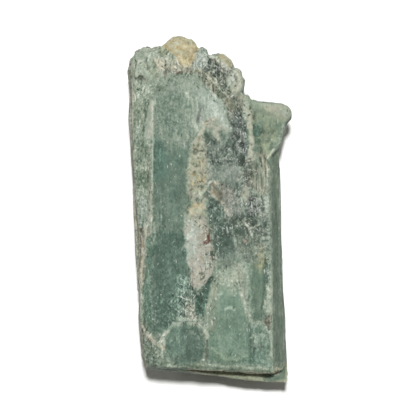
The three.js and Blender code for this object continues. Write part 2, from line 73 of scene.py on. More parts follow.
# Patches of the upper surface, painted one over the other. Each is an outline, how soft its edge
# is in mm, and the values that it sets. "tone" runs from deep green at 0 to frosted at 1, and a
# little past it runs on to the white of painted glints; "olive", "teal", "warm" and "grey" tint it;
# "cream", "sand", "quartz",
# "mica" and "rust" lay minerals over it; "grainy", "streaky", "hair" and "broken" are how strongly
# it is textured.
PATCHES = [
    # the left bevel, its darker and paler parts, and its split lower half
    ([(-13.2, 20.6), (-9.1, 20.2), (-9.0, -1.4), (-9.6, -4.6), (-10.2, -8.0), (-10.8, -19.6),
      (-13, -19.6)],
     0.2, {"tone": 0.74, "olive": 0.3, "streaky": 0.5, "grainy": 0.42}),
    ([(-12.4, 17.4), (-10.4, 17.4), (-10.6, 13.4), (-12.4, 13.4)],
     0.5, {"tone": 0.66, "olive": 0.5}),
    ([(-12.4, 13.2), (-10.2, 13.2), (-10.2, 11.0), (-12.4, 11.0)], 0.5, {"tone": 0.82, "olive": 0.2}),
    ([(-12.2, 10.6), (-9.4, 10.4), (-9.4, 6.4), (-12.0, 6.8)], 0.7, {"tone": 0.6, "olive": 0.4}),
    ([(-12.2, 6.2), (-9.4, 6.0), (-9.4, 3.0), (-12.0, 3.2)], 0.7, {"tone": 0.38, "olive": 0.5}),
    ([(-12.2, 2.4), (-9.6, 1.4), (-9.4, -3.0), (-11.8, -3.0)],
     0.5, {"tone": 0.7, "olive": 0.1, "grey": 0.3}),
    ([(-11.8, -2.8), (-9.8, -2.8), (-10.0, -5.6), (-10.3, -9.0), (-10.7, -13.0), (-11.4, -13.0)],
     0.2, {"tone": 0.84, "cream": 0.42, "streaky": 1.0, "warm": 0.5, "hair": 0.4}),
    ([(-11.4, -13.0), (-10.6, -13.0), (-9.8, -15.8), (-9.6, -18.4), (-10.4, -19.6), (-11.4, -19.0)],
     0.3, {"tone": 0.68, "olive": 0.3, "streaky": 0.7}),
    # the broken upper left corner
    ([(-14, 19.4), (-9.3, 19.6), (-6.4, 20.8), (-6.0, 23.4), (-7.6, 26.8), (-14, 27)],
     0.7, {"tone": 0.9, "broken": 0.25, "hair": 0.3, "grainy": 0.3, "olive": 0.3, "grey": 0.2,
           "cream": 0.2}),
    ([(-9.8, 23.8), (-8.4, 23.6), (-7.8, 22.0), (-8.6, 20.8), (-9.8, 21.2)],
     0.5, {"tone": 0.74, "olive": 0.7, "cream": 0}),
    ([(-11.8, 20.0), (-9.2, 20.0), (-9.2, 17.6), (-11.8, 17.6)],
     0.6, {"tone": 0.86, "hair": 0.6, "grainy": 0.4}),
    ([(-8.8, 24.0), (-3.2, 23.4), (-2.4, 21.8), (-5.6, 21.6), (-8.4, 21.6)],
     0.6, {"tone": 0.86, "warm": 0.6, "cream": 0.35, "hair": 0.4, "broken": 0.4}),
    ([(-8.4, 26.0), (-6.8, 25.8), (-6.9, 24.4), (-8.0, 24.2)], 0.3, {"tone": 0.66, "olive": 1.0}),
    # the broad upper face: frosted at its top, clear and teal lower down
    ([(-9.0, 19.6), (-6.0, 20.8), (-2.4, 21.4), (-0.4, 19.2), (3.4, 14.8), (3.6, 11.0), (1.9, 9.2),
      (-0.8, 12.0), (-2.4, 9.0), (-3.2, 1.0), (-3.8, -4.0), (-4.0, -5.2), (-9.2, -5.2), (-9.0, 7.6)],
     0.3, {"tone": 0.3, "grainy": 0.2, "streaky": 0.3}),
    ([(-8.8, 20), (-2.0, 21.6), (0.6, 18.6), (1, 9), (-1.6, 9.0), (-3.0, 8.4), (-8.6, 11.0)],
     1.8, {"tone": 0.56, "grainy": 0.25, "hair": 0.25}),
    ([(-8.6, 20.4), (-1.8, 21.4), (-0.2, 18.8), (-3.6, 18.4), (-8.6, 18.8)],
     0.8, {"tone": 0.68, "grey": 0.3}),
    ([(-8.6, 19.6), (-6.9, 19.4), (-7.0, 18.4), (-8.6, 18.6)], 0.4, {"tone": 0.4, "olive": 0.5}),
    ([(-3.8, 17.6), (-0.4, 19.0), (0.6, 16.0), (-0.4, 12.2), (-2.2, 11.6), (-3.2, 14.0)],
     1.1, {"tone": 0.8, "hair": 0.25, "streaky": 0.6}),
    ([(-7.8, 8.8), (-3.8, 9.4), (-3.2, 5.0), (-3.6, -1.6), (-5.2, -3.6), (-8.0, 1.0)],
     1.2, {"tone": 0.33, "teal": 0.25, "grainy": 0.16, "hair": 0.1}),
    ([(-8.9, 10.8), (-7.6, 10.4), (-6.6, 7.4), (-7.0, 4.4), (-9.0, 4.0)],
     0.7, {"tone": 0.18, "teal": 0.9, "hair": 0}),
    ([(-8.9, -0.6), (-7.6, -0.6), (-7.4, -3.4), (-8.6, -4.4)], 0.5, {"tone": 0.12, "streaky": 0.7}),
    ([(-4.4, 11.0), (-2.4, 10.6), (-2.8, 8.8), (-4.2, 9.2)], 0.5, {"tone": 0.5, "grey": 0.4}),
    # the clear lower face, sprinkled with bruises
    ([(-9.5, -4.4), (-7.8, -4.0), (-3.8, -4.0), (-3.5, -8.6), (-2.7, -11.8), (-4.1, -14.4),
      (-4.8, -17.0), (-6.6, -19.2), (-8.5, -20.4), (-9.7, -18.6), (-10.4, -14.7), (-10.3, -9.0)],
     0.4, {"tone": 0.14, "grainy": 0.26, "teal": 0.5, "streaky": 0.25, "hair": 0.3}),
    ([(-8.6, -14.0), (-5.0, -13.6), (-4.8, -17.6), (-6.8, -19.4), (-8.8, -18.6)],
     0.8, {"tone": 0.14, "hair": 0.25, "grainy": 0.5}),
    # painted light: the lower plate's left bevel faces left and down, and is painted paler to lift its
    # shade
    ([(-10.4, -5.4), (-9.1, -5.0), (-9.1, -12.0), (-9.5, -18.0), (-10.6, -18.0)],
     0.3, {"tone": 0.42, "grainy": 0.3}),
    # a spalled splinter on the left edge, and the pale sheet beside the upper hollow
    ([(-9.4, 17.6), (-9.1, 16.6), (-9.1, 10.8), (-10.5, 11.0), (-10.3, 12.4), (-9.9, 14.6)],
     0.14, {"tone": 0.96, "streaky": 0.3, "grainy": 0.08, "warm": 0.1, "olive": 0.1, "hair": 0}),
    ([(-2.4, 18.6), (0.2, 18.8), (1.8, 17.8), (3.2, 16.0), (3.9, 13.4), (3.3, 11.8), (2.0, 12.0),
      (0.8, 13.0), (-0.4, 13.4), (-0.9, 15.6)],
     0.7, {"tone": 0.86, "teal": 0.1, "hair": 0.15, "grainy": 0.2, "streaky": 0.4, "olive": 0,
           "grey": 0.4}),
    ([(-0.4, 18.4), (1.0, 18.2), (2.4, 16.8), (3.4, 15.0), (3.6, 12.4), (2.2, 12.6), (0.6, 14.4)],
     0.5, {"tone": 1.07, "grainy": 0.24, "streaky": 0.25, "hair": 0.3, "teal": 0.15}),
    ([(-2.2, 16.4), (-1.3, 16.6), (-0.9, 15.2), (-1.4, 13.6), (-2.3, 13.2)],
     0.35, {"tone": 0.46, "grey": 0.9, "hair": 0.4}),
    # the rough field
    ([(3.6, 12.0), (5.8, 8.0), (8.2, 7.6), (9.4, 3.0), (9.3, -6.8), (4.6, -7.4), (0.8, -8.4),
      (-0.4, -1.0), (-1.0, 5.0), (-0.6, 11.0), (0.6, 10.4), (2.0, 9.0), (3.4, 10.0)],
     0.4, {"tone": 0.48, "grey": 0.5, "broken": 0.8, "hair": 0.4, "grainy": 0.45, "streaky": 0.1,
           "mica": 0.1, "olive": 0, "warm": 0.15}),
    ([(-1.2, 11.4), (2.4, 10.8), (2.6, 6.9), (-0.8, 6.8)],
     0.4, {"tone": 0.44, "grey": 0.5, "hair": 0.5, "mica": 0.2}),
    ([(2.2, 10.4), (5.8, 9.0), (5.6, 7.0), (2.4, 6.9)],
     0.4, {"tone": 0.4, "grey": 0.5, "hair": 0.6, "mica": 0.25, "broken": 0.4}),
    ([(-0.3, 6.5), (5.2, 6.6), (5.2, 3.4), (3.6, 3.6), (0.2, 4.0)],
     0.35, {"tone": 0.62, "grey": 0.55, "hair": 0.1, "broken": 0.1, "grainy": 0.26, "mica": 0,
            "streaky": 0.5}),
    ([(0.0, 3.9), (2.6, 4.0), (2.8, 1.2), (1.6, 0.4), (0.4, 1.4)],
     0.2, {"tone": 0.66, "warm": 1.0, "sand": 0.3, "grey": 0, "hair": 0.1, "mica": 0, "broken": 0.5,
           "grainy": 0.25}),
    ([(2.0, 4.0), (3.9, 3.6), (3.8, -1.2), (2.4, -1.0), (2.0, 1.4)],
     0.25, {"tone": 0.54, "grey": 0.9, "warm": 0.4, "hair": 0.3, "mica": 0, "broken": 0.6}),
    ([(3.0, 1.4), (4.7, 1.6), (5.0, -0.8), (4.2, -2.2), (2.8, -1.8), (2.4, -0.2)],
     0.2, {"tone": 0.46, "grey": 0.9, "warm": 0.2, "hair": 0.15, "mica": 0, "broken": 0.3}),
    ([(4.9, 2.2), (5.2, 3.0), (5.8, 3.0), (6.3, 2.4), (6.2, 1.5), (5.6, 1.0), (5.0, 1.3)],
     0.14, {"tone": 0.76, "olive": 0.6, "cream": 0.2, "warm": 0.3, "hair": 0, "mica": 0, "grainy": 0.1}),
    ([(5.9, 1.6), (7.6, 1.7), (7.9, -1.4), (6.0, -1.4)],
     0.3, {"tone": 0.26, "grey": 0.9, "mica": 0.9, "hair": 0.9}),
    ([(-1.0, 1.3), (1.0, 1.3), (2.2, -0.4), (2.0, -2.0), (0.0, -2.4), (-1.0, -0.4)],
     0.3, {"tone": 0.28, "hair": 0.6, "mica": 0.2, "teal": 0.3, "grey": 0.2}),
    ([(-1.5, 3.6), (-0.3, 3.4), (-0.2, 1.3), (-1.4, 1.4)], 0.2, {"tone": 0.0, "teal": 0.3, "mica": 0.3}),
    ([(2.2, -1.6), (8.6, -1.0), (8.8, -4.6), (5.4, -4.8), (3.0, -3.0)],
     0.4, {"tone": 0.2, "grey": 0.4, "hair": 0.6, "warm": 0.3, "mica": 0}),
    ([(0.4, -2.0), (4.0, -2.0), (5.2, -3.4), (4.8, -6.2), (3.6, -7.8), (1.8, -8.2), (0.6, -7.0)],
     0.4, {"tone": 0.06, "grey": 0.1, "hair": 0.7, "broken": 0.3, "mica": 0.3, "grainy": 0.3}),
    ([(2.0, -4.8), (3.8, -4.6), (4.2, -8.0), (2.0, -8.2)],
     0.3, {"tone": 0.08, "hair": 0.2, "broken": 0.1, "grainy": 0.25, "grey": 0.3, "teal": 0.2, "mica": 0}),
    ([(4.0, -4.4), (8.4, -4.6), (8.6, -8.0), (7.4, -9.0), (4.8, -9.0)],
     0.4, {"tone": 0.38, "grey": 0.4, "hair": 0.15, "broken": 0.3, "mica": 0, "olive": 0.3}),
    ([(5.2, 7.6), (6.9, 7.8), (7.0, 2.8), (5.6, 3.2)],
     0.2, {"tone": 0.26, "warm": 0.7, "grey": 0.2, "streaky": 1.0, "hair": 0.6, "mica": 0.5}),
    ([(6.7, 9.0), (9.2, 8.8), (9.4, 6.0), (9.3, 2.2), (7.6, 1.6), (6.8, 4.0)],
     0.2, {"tone": 0.58, "olive": 0.3, "warm": 0.5, "grey": 0.1, "streaky": 0.75, "hair": 0.45,
           "grainy": 0.1, "broken": 0.1, "mica": 0}),
    ([(-1.0, 14.2), (0.7, 14.4), (2.6, 13.6), (3.2, 12.6), (2.6, 11.7), (2.0, 12.3), (1.5, 10.6),
      (0.7, 11.4), (-0.1, 12.3), (-0.7, 13.1)],
     0.25, {"tone": 0.88, "warm": 0.5, "cream": 0.34, "grey": 0.2, "hair": 0.2, "mica": 0, "broken": 0.1}),
    ([(1.3, 14.8), (3.6, 14.4), (3.5, 12.6), (2.4, 12.3), (1.5, 13.1)],
     0.3, {"tone": 1.0, "cream": 0, "warm": 0.1, "hair": 0.3, "grey": 0.4}),
    # the upper end: pale lumps, and the run of black and white mica beside them
    ([(-2.9, 25.2), (-1.4, 26.4), (0.3, 24.6), (-0.2, 22.2), (-2.0, 21.8), (-3.0, 23.0)],
     0.4, {"tone": 1.08, "grey": 0.6, "hair": 0.35, "olive": 0, "broken": 0.4}),
    ([(-2.6, 22.2), (-0.4, 22.2), (1.8, 20.6), (3.2, 18.4), (4.4, 15.8), (3.3, 14.2), (2.6, 16.0),
      (1.5, 17.6), (0.1, 18.9), (-1.4, 20.2)],
     0.25, {"tone": 0.44, "olive": 0.6, "mica": 0.15, "hair": 0.75, "grey": 0.2, "broken": 0.3,
            "grainy": 0.4, "warm": 0.5, "cream": 0.15}),
    ([(1.2, 23.6), (2.4, 21.4), (3.5, 19.2), (4.4, 17.4), (5.2, 15.2), (4.0, 15.4), (3.0, 17.8),
      (1.6, 20.0), (0.2, 21.4)],
     0.25, {"tone": 0.64, "hair": 0.9, "grey": 0.4, "mica": 0.2, "olive": 0.4, "warm": 0.3,
            "broken": 0.4}),
    ([(-0.5, 24.2), (1.2, 24.2), (2.0, 22.6), (1.9, 21.4), (0.6, 21.0), (-0.4, 22.2)],
     0.3, {"tone": 0.22, "mica": 0.5, "hair": 0.9, "grey": 0.5, "warm": 0.3}),
    ([(2.8, 17.6), (3.8, 17.4), (4.0, 15.7), (3.0, 15.7)],
     0.3, {"tone": 0.36, "olive": 0.6, "hair": 0.1, "mica": 0, "broken": 0, "grainy": 0.2}),
    ([(3.3, 15.4), (4.6, 16.0), (5.6, 13.6), (5.9, 10.6), (6.4, 8.6), (5.4, 8.6), (4.6, 9.8),
      (3.0, 10.8), (3.5, 12.4)],
     0.25, {"tone": 0.08, "mica": 0.8, "hair": 0.7, "grey": 0.5, "olive": 0, "grainy": 0.4}),
    ([(1.2, 26.6), (3.6, 25.2), (5.2, 22.4), (5.8, 19.6), (5.9, 17.2), (4.4, 17.6), (3.2, 19.6),
      (1.4, 23.0), (0.2, 24.8)],
     0.3, {"tone": 0.84, "cream": 0.32, "warm": 0.3, "hair": 0.4, "olive": 0.5, "mica": 0,
           "broken": 0.4}),
    ([(1.2, 23.8), (3.4, 23.2), (4.4, 21.0), (3.4, 19.8), (2.2, 21.6)],
     0.3, {"tone": 0.98, "cream": 0.1, "grey": 0.6, "warm": 0.3, "olive": 0}),
    # the horn: olive and smooth, with a paler lip and a teal hollow at its root
    ([(5.8, 18.4), (13.8, 18.0), (13.8, 13.6), (12.2, 10.0), (10.0, 7.4), (8.6, 8.6), (6.9, 10.6)],
     0.25, {"tone": 0.7, "olive": 0.75, "grainy": 0.16, "streaky": 0.12, "grey": 0, "mica": 0,
            "broken": 0, "hair": 0.04}),
    ([(8.0, 17.6), (13.8, 17.6), (13.8, 14.4), (12.4, 14.4), (10.6, 14.6), (8.8, 15.6)],
     0.6, {"tone": 0.9, "warm": 0.5, "grey": 0.2, "olive": 0.4, "hair": 0.25}),
    ([(9.8, 14.0), (11.8, 14.0), (11.6, 10.4), (9.8, 10.6)], 0.8, {"tone": 0.56, "olive": 0.6}),
    ([(6.9, 13.4), (8.0, 13.8), (8.4, 12.4), (8.0, 10.6), (7.0, 10.2), (6.8, 11.6)],
     0.7, {"tone": 0.32, "teal": 0.3, "olive": 0.15, "grainy": 0.25, "hair": 0.25}),
    ([(4.4, 17.0), (5.6, 17.4), (6.7, 15.8), (6.7, 13.8), (5.6, 13.8), (5.2, 15.2)],
     0.3, {"tone": 0.86, "cream": 0.42, "hair": 0.75, "mica": 0, "olive": 0.4, "broken": 0.5}),
    ([(5.8, 14.4), (6.7, 14.4), (6.9, 12.0), (6.7, 8.0), (6.2, 8.0), (6.2, 12.2)],
     0.14, {"tone": 0.9, "cream": 0.6, "mica": 0, "hair": 0.2, "olive": 0.3}),
    # the bed of yellow crust down the middle, and the quartz below it
    ([(-2.6, 11.0), (-1.2, 11.2), (-0.5, 9.6), (-0.4, 5.0), (-0.6, 0.4), (-0.7, -2.0), (-3.4, -2.0),
      (-3.4, 0.0), (-3.0, 1.0), (-3.9, 3.0), (-3.6, 6.6), (-2.9, 9.0)],
     0.45, {"tone": 0.74, "cream": 0.48, "olive": 0.6, "hair": 0.25, "broken": 0.6, "grainy": 0.3,
            "grey": 0, "warm": 0.3}),
    ([(-2.4, 7.8), (-0.8, 7.8), (-0.7, 6.0), (-2.2, 6.0)], 0.3, {"tone": 0.5, "sand": 0.5, "olive": 0.8}),
    ([(-3.7, 5.8), (-0.5, 5.4), (-0.5, 3.4), (-3.4, 3.2)],
     0.35, {"cream": 0.4, "sand": 0.5, "tone": 0.5, "hair": 0.4}),
    ([(-3.3, 2.6), (-0.9, 2.8), (-1.2, 0.8), (-3.0, 0.6)],
     0.3, {"tone": 1.05, "cream": 0.35, "sand": 0.1, "olive": 0.1, "hair": 0.2}),
    ([(-3.2, 0.6), (-1.0, 0.8), (-0.6, -1.8), (-3.4, -2.4)],
     0.35, {"cream": 0.45, "sand": 0.6, "tone": 0.9, "hair": 0.1, "broken": 0.2}),
    ([(-3.9, -2.2), (-2.8, -1.6), (-1.1, -1.4), (-0.4, -3.4), (0.2, -5.4), (0.9, -7.6), (0.9, -9.2),
      (0.2, -10.8), (-0.8, -12.4), (-1.8, -13.2), (-2.8, -12.8), (-3.2, -10.6), (-3.8, -8.2),
      (-4.1, -4.8)],
     0.25, {"tone": 0.86, "quartz": 0.8, "cream": 0, "olive": 0.1, "broken": 0.2, "hair": 0.25,
            "grainy": 0.6, "streaky": 0.1, "grey": 0.4, "sand": 0}),
    ([(-4.0, -2.6), (-2.0, -2.6), (-1.8, -6.8), (-2.6, -8.6), (-3.6, -8.0)],
     0.5, {"tone": 1.02, "quartz": 0.4, "grainy": 0.15, "grey": 0.6, "hair": 0.0}),
    ([(-4.0, -1.2), (-0.6, -1.2), (-0.2, -3.2), (-1.6, -3.6), (-3.0, -2.8), (-4.0, -3.4)],
     0.6, {"quartz": 0.44, "cream": 0.4, "sand": 0.24, "hair": 0.6, "tone": 0.84}),
    ([(-3.6, -8.4), (-1.0, -7.6), (0.4, -9.0), (-0.4, -11.6), (-1.8, -12.8), (-3.0, -12.0)],
     0.6, {"cream": 0.34}),
    ([(-1.8, -2.2), (-0.6, -2.4), (0.2, -5.6), (-0.8, -5.4)],
     0.4, {"tone": 0.8, "quartz": 0.5, "warm": 1.0, "cream": 0.3, "hair": 0.5}),
    ([(-0.8, -6.6), (0.6, -6.8), (0.8, -9.0), (-0.2, -11.2), (-0.8, -9.4)],
     0.4, {"quartz": 0.55, "hair": 0.6, "tone": 0.7, "olive": 0.4}),
    ([(-1.9, -10.4), (-1.0, -10.3), (-0.8, -11.2), (-1.6, -11.5)],
     0.25, {"quartz": 0.2, "tone": 0.1, "olive": 0.9, "warm": 0.5, "hair": 0.3}),
    # the sparkling ground and the dark facet between the quartz and the tongue
    ([(-5.2, -10.8), (-3.2, -10.6), (-2.4, -12.8), (-1.4, -14.0), (-1.6, -18.4), (-4.4, -18.2),
      (-5.6, -15.6)],
     0.6, {"tone": 0.5, "hair": 0.75, "mica": 0.2, "grainy": 0.5, "broken": 0.4, "olive": 0.1}),
    ([(-3.8, -14.0), (-2.2, -14.4), (-1.8, -18.0), (-3.8, -17.8)],
     0.5, {"tone": 0.6, "warm": 0.4, "cream": 0.2}),
    ([(0.5, -10.8), (0.4, -12.2), (0.0, -13.8), (-0.4, -15.2), (-1.0, -17.0), (-2.2, -17.2),
      (-2.5, -14.8), (-1.4, -13.4), (-0.6, -12.2)],
     0.2, {"tone": 0.08, "teal": 0.5, "grey": 0, "mica": 0, "hair": 0.35, "grainy": 0.4, "broken": 0.2,
           "warm": 0, "cream": 0}),
    # the tongue and the facets on its right
    ([(0.7, -9.1), (1.4, -8.2), (3.6, -8.2), (4.4, -11.8), (5.2, -14.9), (6.0, -18.7), (6.4, -22.7),
      (6.4, -24.8), (4.0, -24.6), (0.4, -24.2), (-0.3, -22.7), (-0.5, -18.7), (-0.1, -14.7), (0.4, -11.8)],
     0.3, {"tone": 0.53, "teal": 0.25, "olive": 0.25, "grainy": 0.12, "streaky": 0.14, "hair": 0.2,
           "grey": 0, "broken": 0, "mica": 0}),
    ([(1.0, -8.6), (4.2, -8.4), (4.8, -12.0), (3.8, -13.6), (2.2, -12.6), (0.8, -12.0)],
     1.0, {"tone": 0.84, "teal": 0.1, "warm": 0.25, "grainy": 0.3}),
    ([(1.2, -7.4), (3.9, -7.2), (4.2, -9.0), (2.6, -9.6), (1.0, -9.4)],
     0.7, {"tone": 0.46, "grey": 0.4, "teal": 0.2}),
    ([(3.6, -8.8), (5.2, -9.0), (5.6, -12.0), (5.8, -15.0), (5.4, -15.6), (4.6, -12.6)],
     0.4, {"tone": 0.7, "warm": 0.3, "hair": 0.1, "teal": 0}),
    ([(5.2, -8.8), (6.3, -9.0), (6.4, -13.0), (6.5, -17.6), (6.2, -18.0), (5.9, -15.0)],
     0.3, {"tone": 0.68, "olive": 0.3, "teal": 0.1}),
    ([(0.6, -10.6), (1.4, -10.2), (1.2, -13.6), (0.8, -16.4), (0.8, -19.6), (-0.5, -19.4), (-0.2, -15.4)],
     0.4, {"tone": 0.62, "hair": 0.5, "warm": 0.3, "teal": 0.1}),
    ([(0.6, -22.6), (5.0, -22.8), (5.0, -24.6), (0.6, -24.2)],
     0.6, {"tone": 0.54, "olive": 0.4, "hair": 0.3}),
    ([(6.3, -8.8), (7.6, -8.6), (8.4, -9.4), (8.5, -12.3), (8.2, -16.3), (7.5, -18.4), (6.8, -17.0),
      (6.4, -13)],
     0.25, {"tone": 0.35, "olive": 0.3, "grainy": 0.1, "streaky": 0.35, "hair": 0, "grey": 0,
            "broken": 0}),
    ([(7.6, -6.2), (8.9, -6.0), (9.0, -8.8), (8.2, -10.2), (7.0, -9.6)],
     0.9, {"tone": 0.56, "sand": 0.46, "olive": 1.0}),
    ([(8.6, -8.0), (9.6, -7.8), (9.6, -12.0), (8.7, -12.2)],
     0.2, {"tone": 0.44, "hair": 0.6, "grainy": 0.5, "mica": 0.2}),
    ([(8.6, -12.4), (9.6, -12.4), (9.7, -15.0), (9.5, -18.0), (8.7, -16.8), (8.2, -15.6)],
     0.14, {"tone": 0.84, "hair": 0.25, "warm": 0.2, "mica": 0, "grey": 0, "streaky": 0.6}),
    ([(6.2, -18.2), (8.8, -18.0), (9.6, -20.6), (9.7, -25.2), (6.5, -24.8)],
     0.3, {"tone": 0.62, "teal": 0.3, "olive": 0.2, "grainy": 0.3, "hair": 0.15, "streaky": 0.2}),
    ([(6.5, -22.0), (8.2, -21.8), (8.5, -24.2), (6.6, -24.6)], 0.25, {"tone": 0.42, "teal": 0.5}),
    ([(8.4, -17.6), (9.5, -16.8), (9.7, -18.6), (9.4, -19.8), (8.6, -19.4)],
     0.25, {"tone": 0.24, "hair": 0.6, "warm": 0.8, "grainy": 0.5}),
    # the crusted lower left corner, and the foot below the tongue
    ([(-11.4, -18.4), (-10.2, -18.0), (-8.0, -20.4), (-7.0, -21.8), (-7.0, -24.0), (-8.6, -25.6),
      (-12, -25.2)],
     0.4, {"tone": 0.36, "grey": 0.3, "hair": 0.5, "grainy": 0.45, "broken": 0.4, "olive": 0.4,
           "cream": 0.05}),
    ([(-11.2, -20.0), (-10.2, -20.6), (-9.6, -22.4), (-10.6, -23.2)], 0.3, {"tone": 0.26, "hair": 0.2}),
    ([(-7.4, -24.0), (-3.6, -24.6), (-0.4, -24.0), (-0.2, -25.8), (-9.0, -25.4)],
     0.4, {"tone": 0.5, "olive": 0.4, "grey": 0.2, "hair": 0.35}),
    # the smooth strip along the right edge
    ([(9.6, 10.2), (11.8, 10.2), (12.2, -8.0), (13.6, -28.0), (10.0, -28.0), (9.7, -12.0), (9.5, -2.0)],
     0.15, {"tone": 0.41, "olive": 0.3, "grey": 0.2, "streaky": 0.4, "grainy": 0.06, "hair": 0, "broken": 0,
            "mica": 0, "cream": 0}),
    ([(9.7, 10.2), (11.2, 10.2), (11.2, 4.0), (9.6, 4.0)], 0.5, {"tone": 0.38, "grey": 0.1, "olive": 0.5}),
    ([(9.6, 3.0), (10.6, 3.0), (10.9, -18.0), (9.9, -18.0)], 0.25, {"tone": 0.27}),
    ([(11.0, 6.0), (12.6, 6.0), (13.4, -26.0), (11.7, -26.0)], 0.25, {"tone": 0.46}),
]

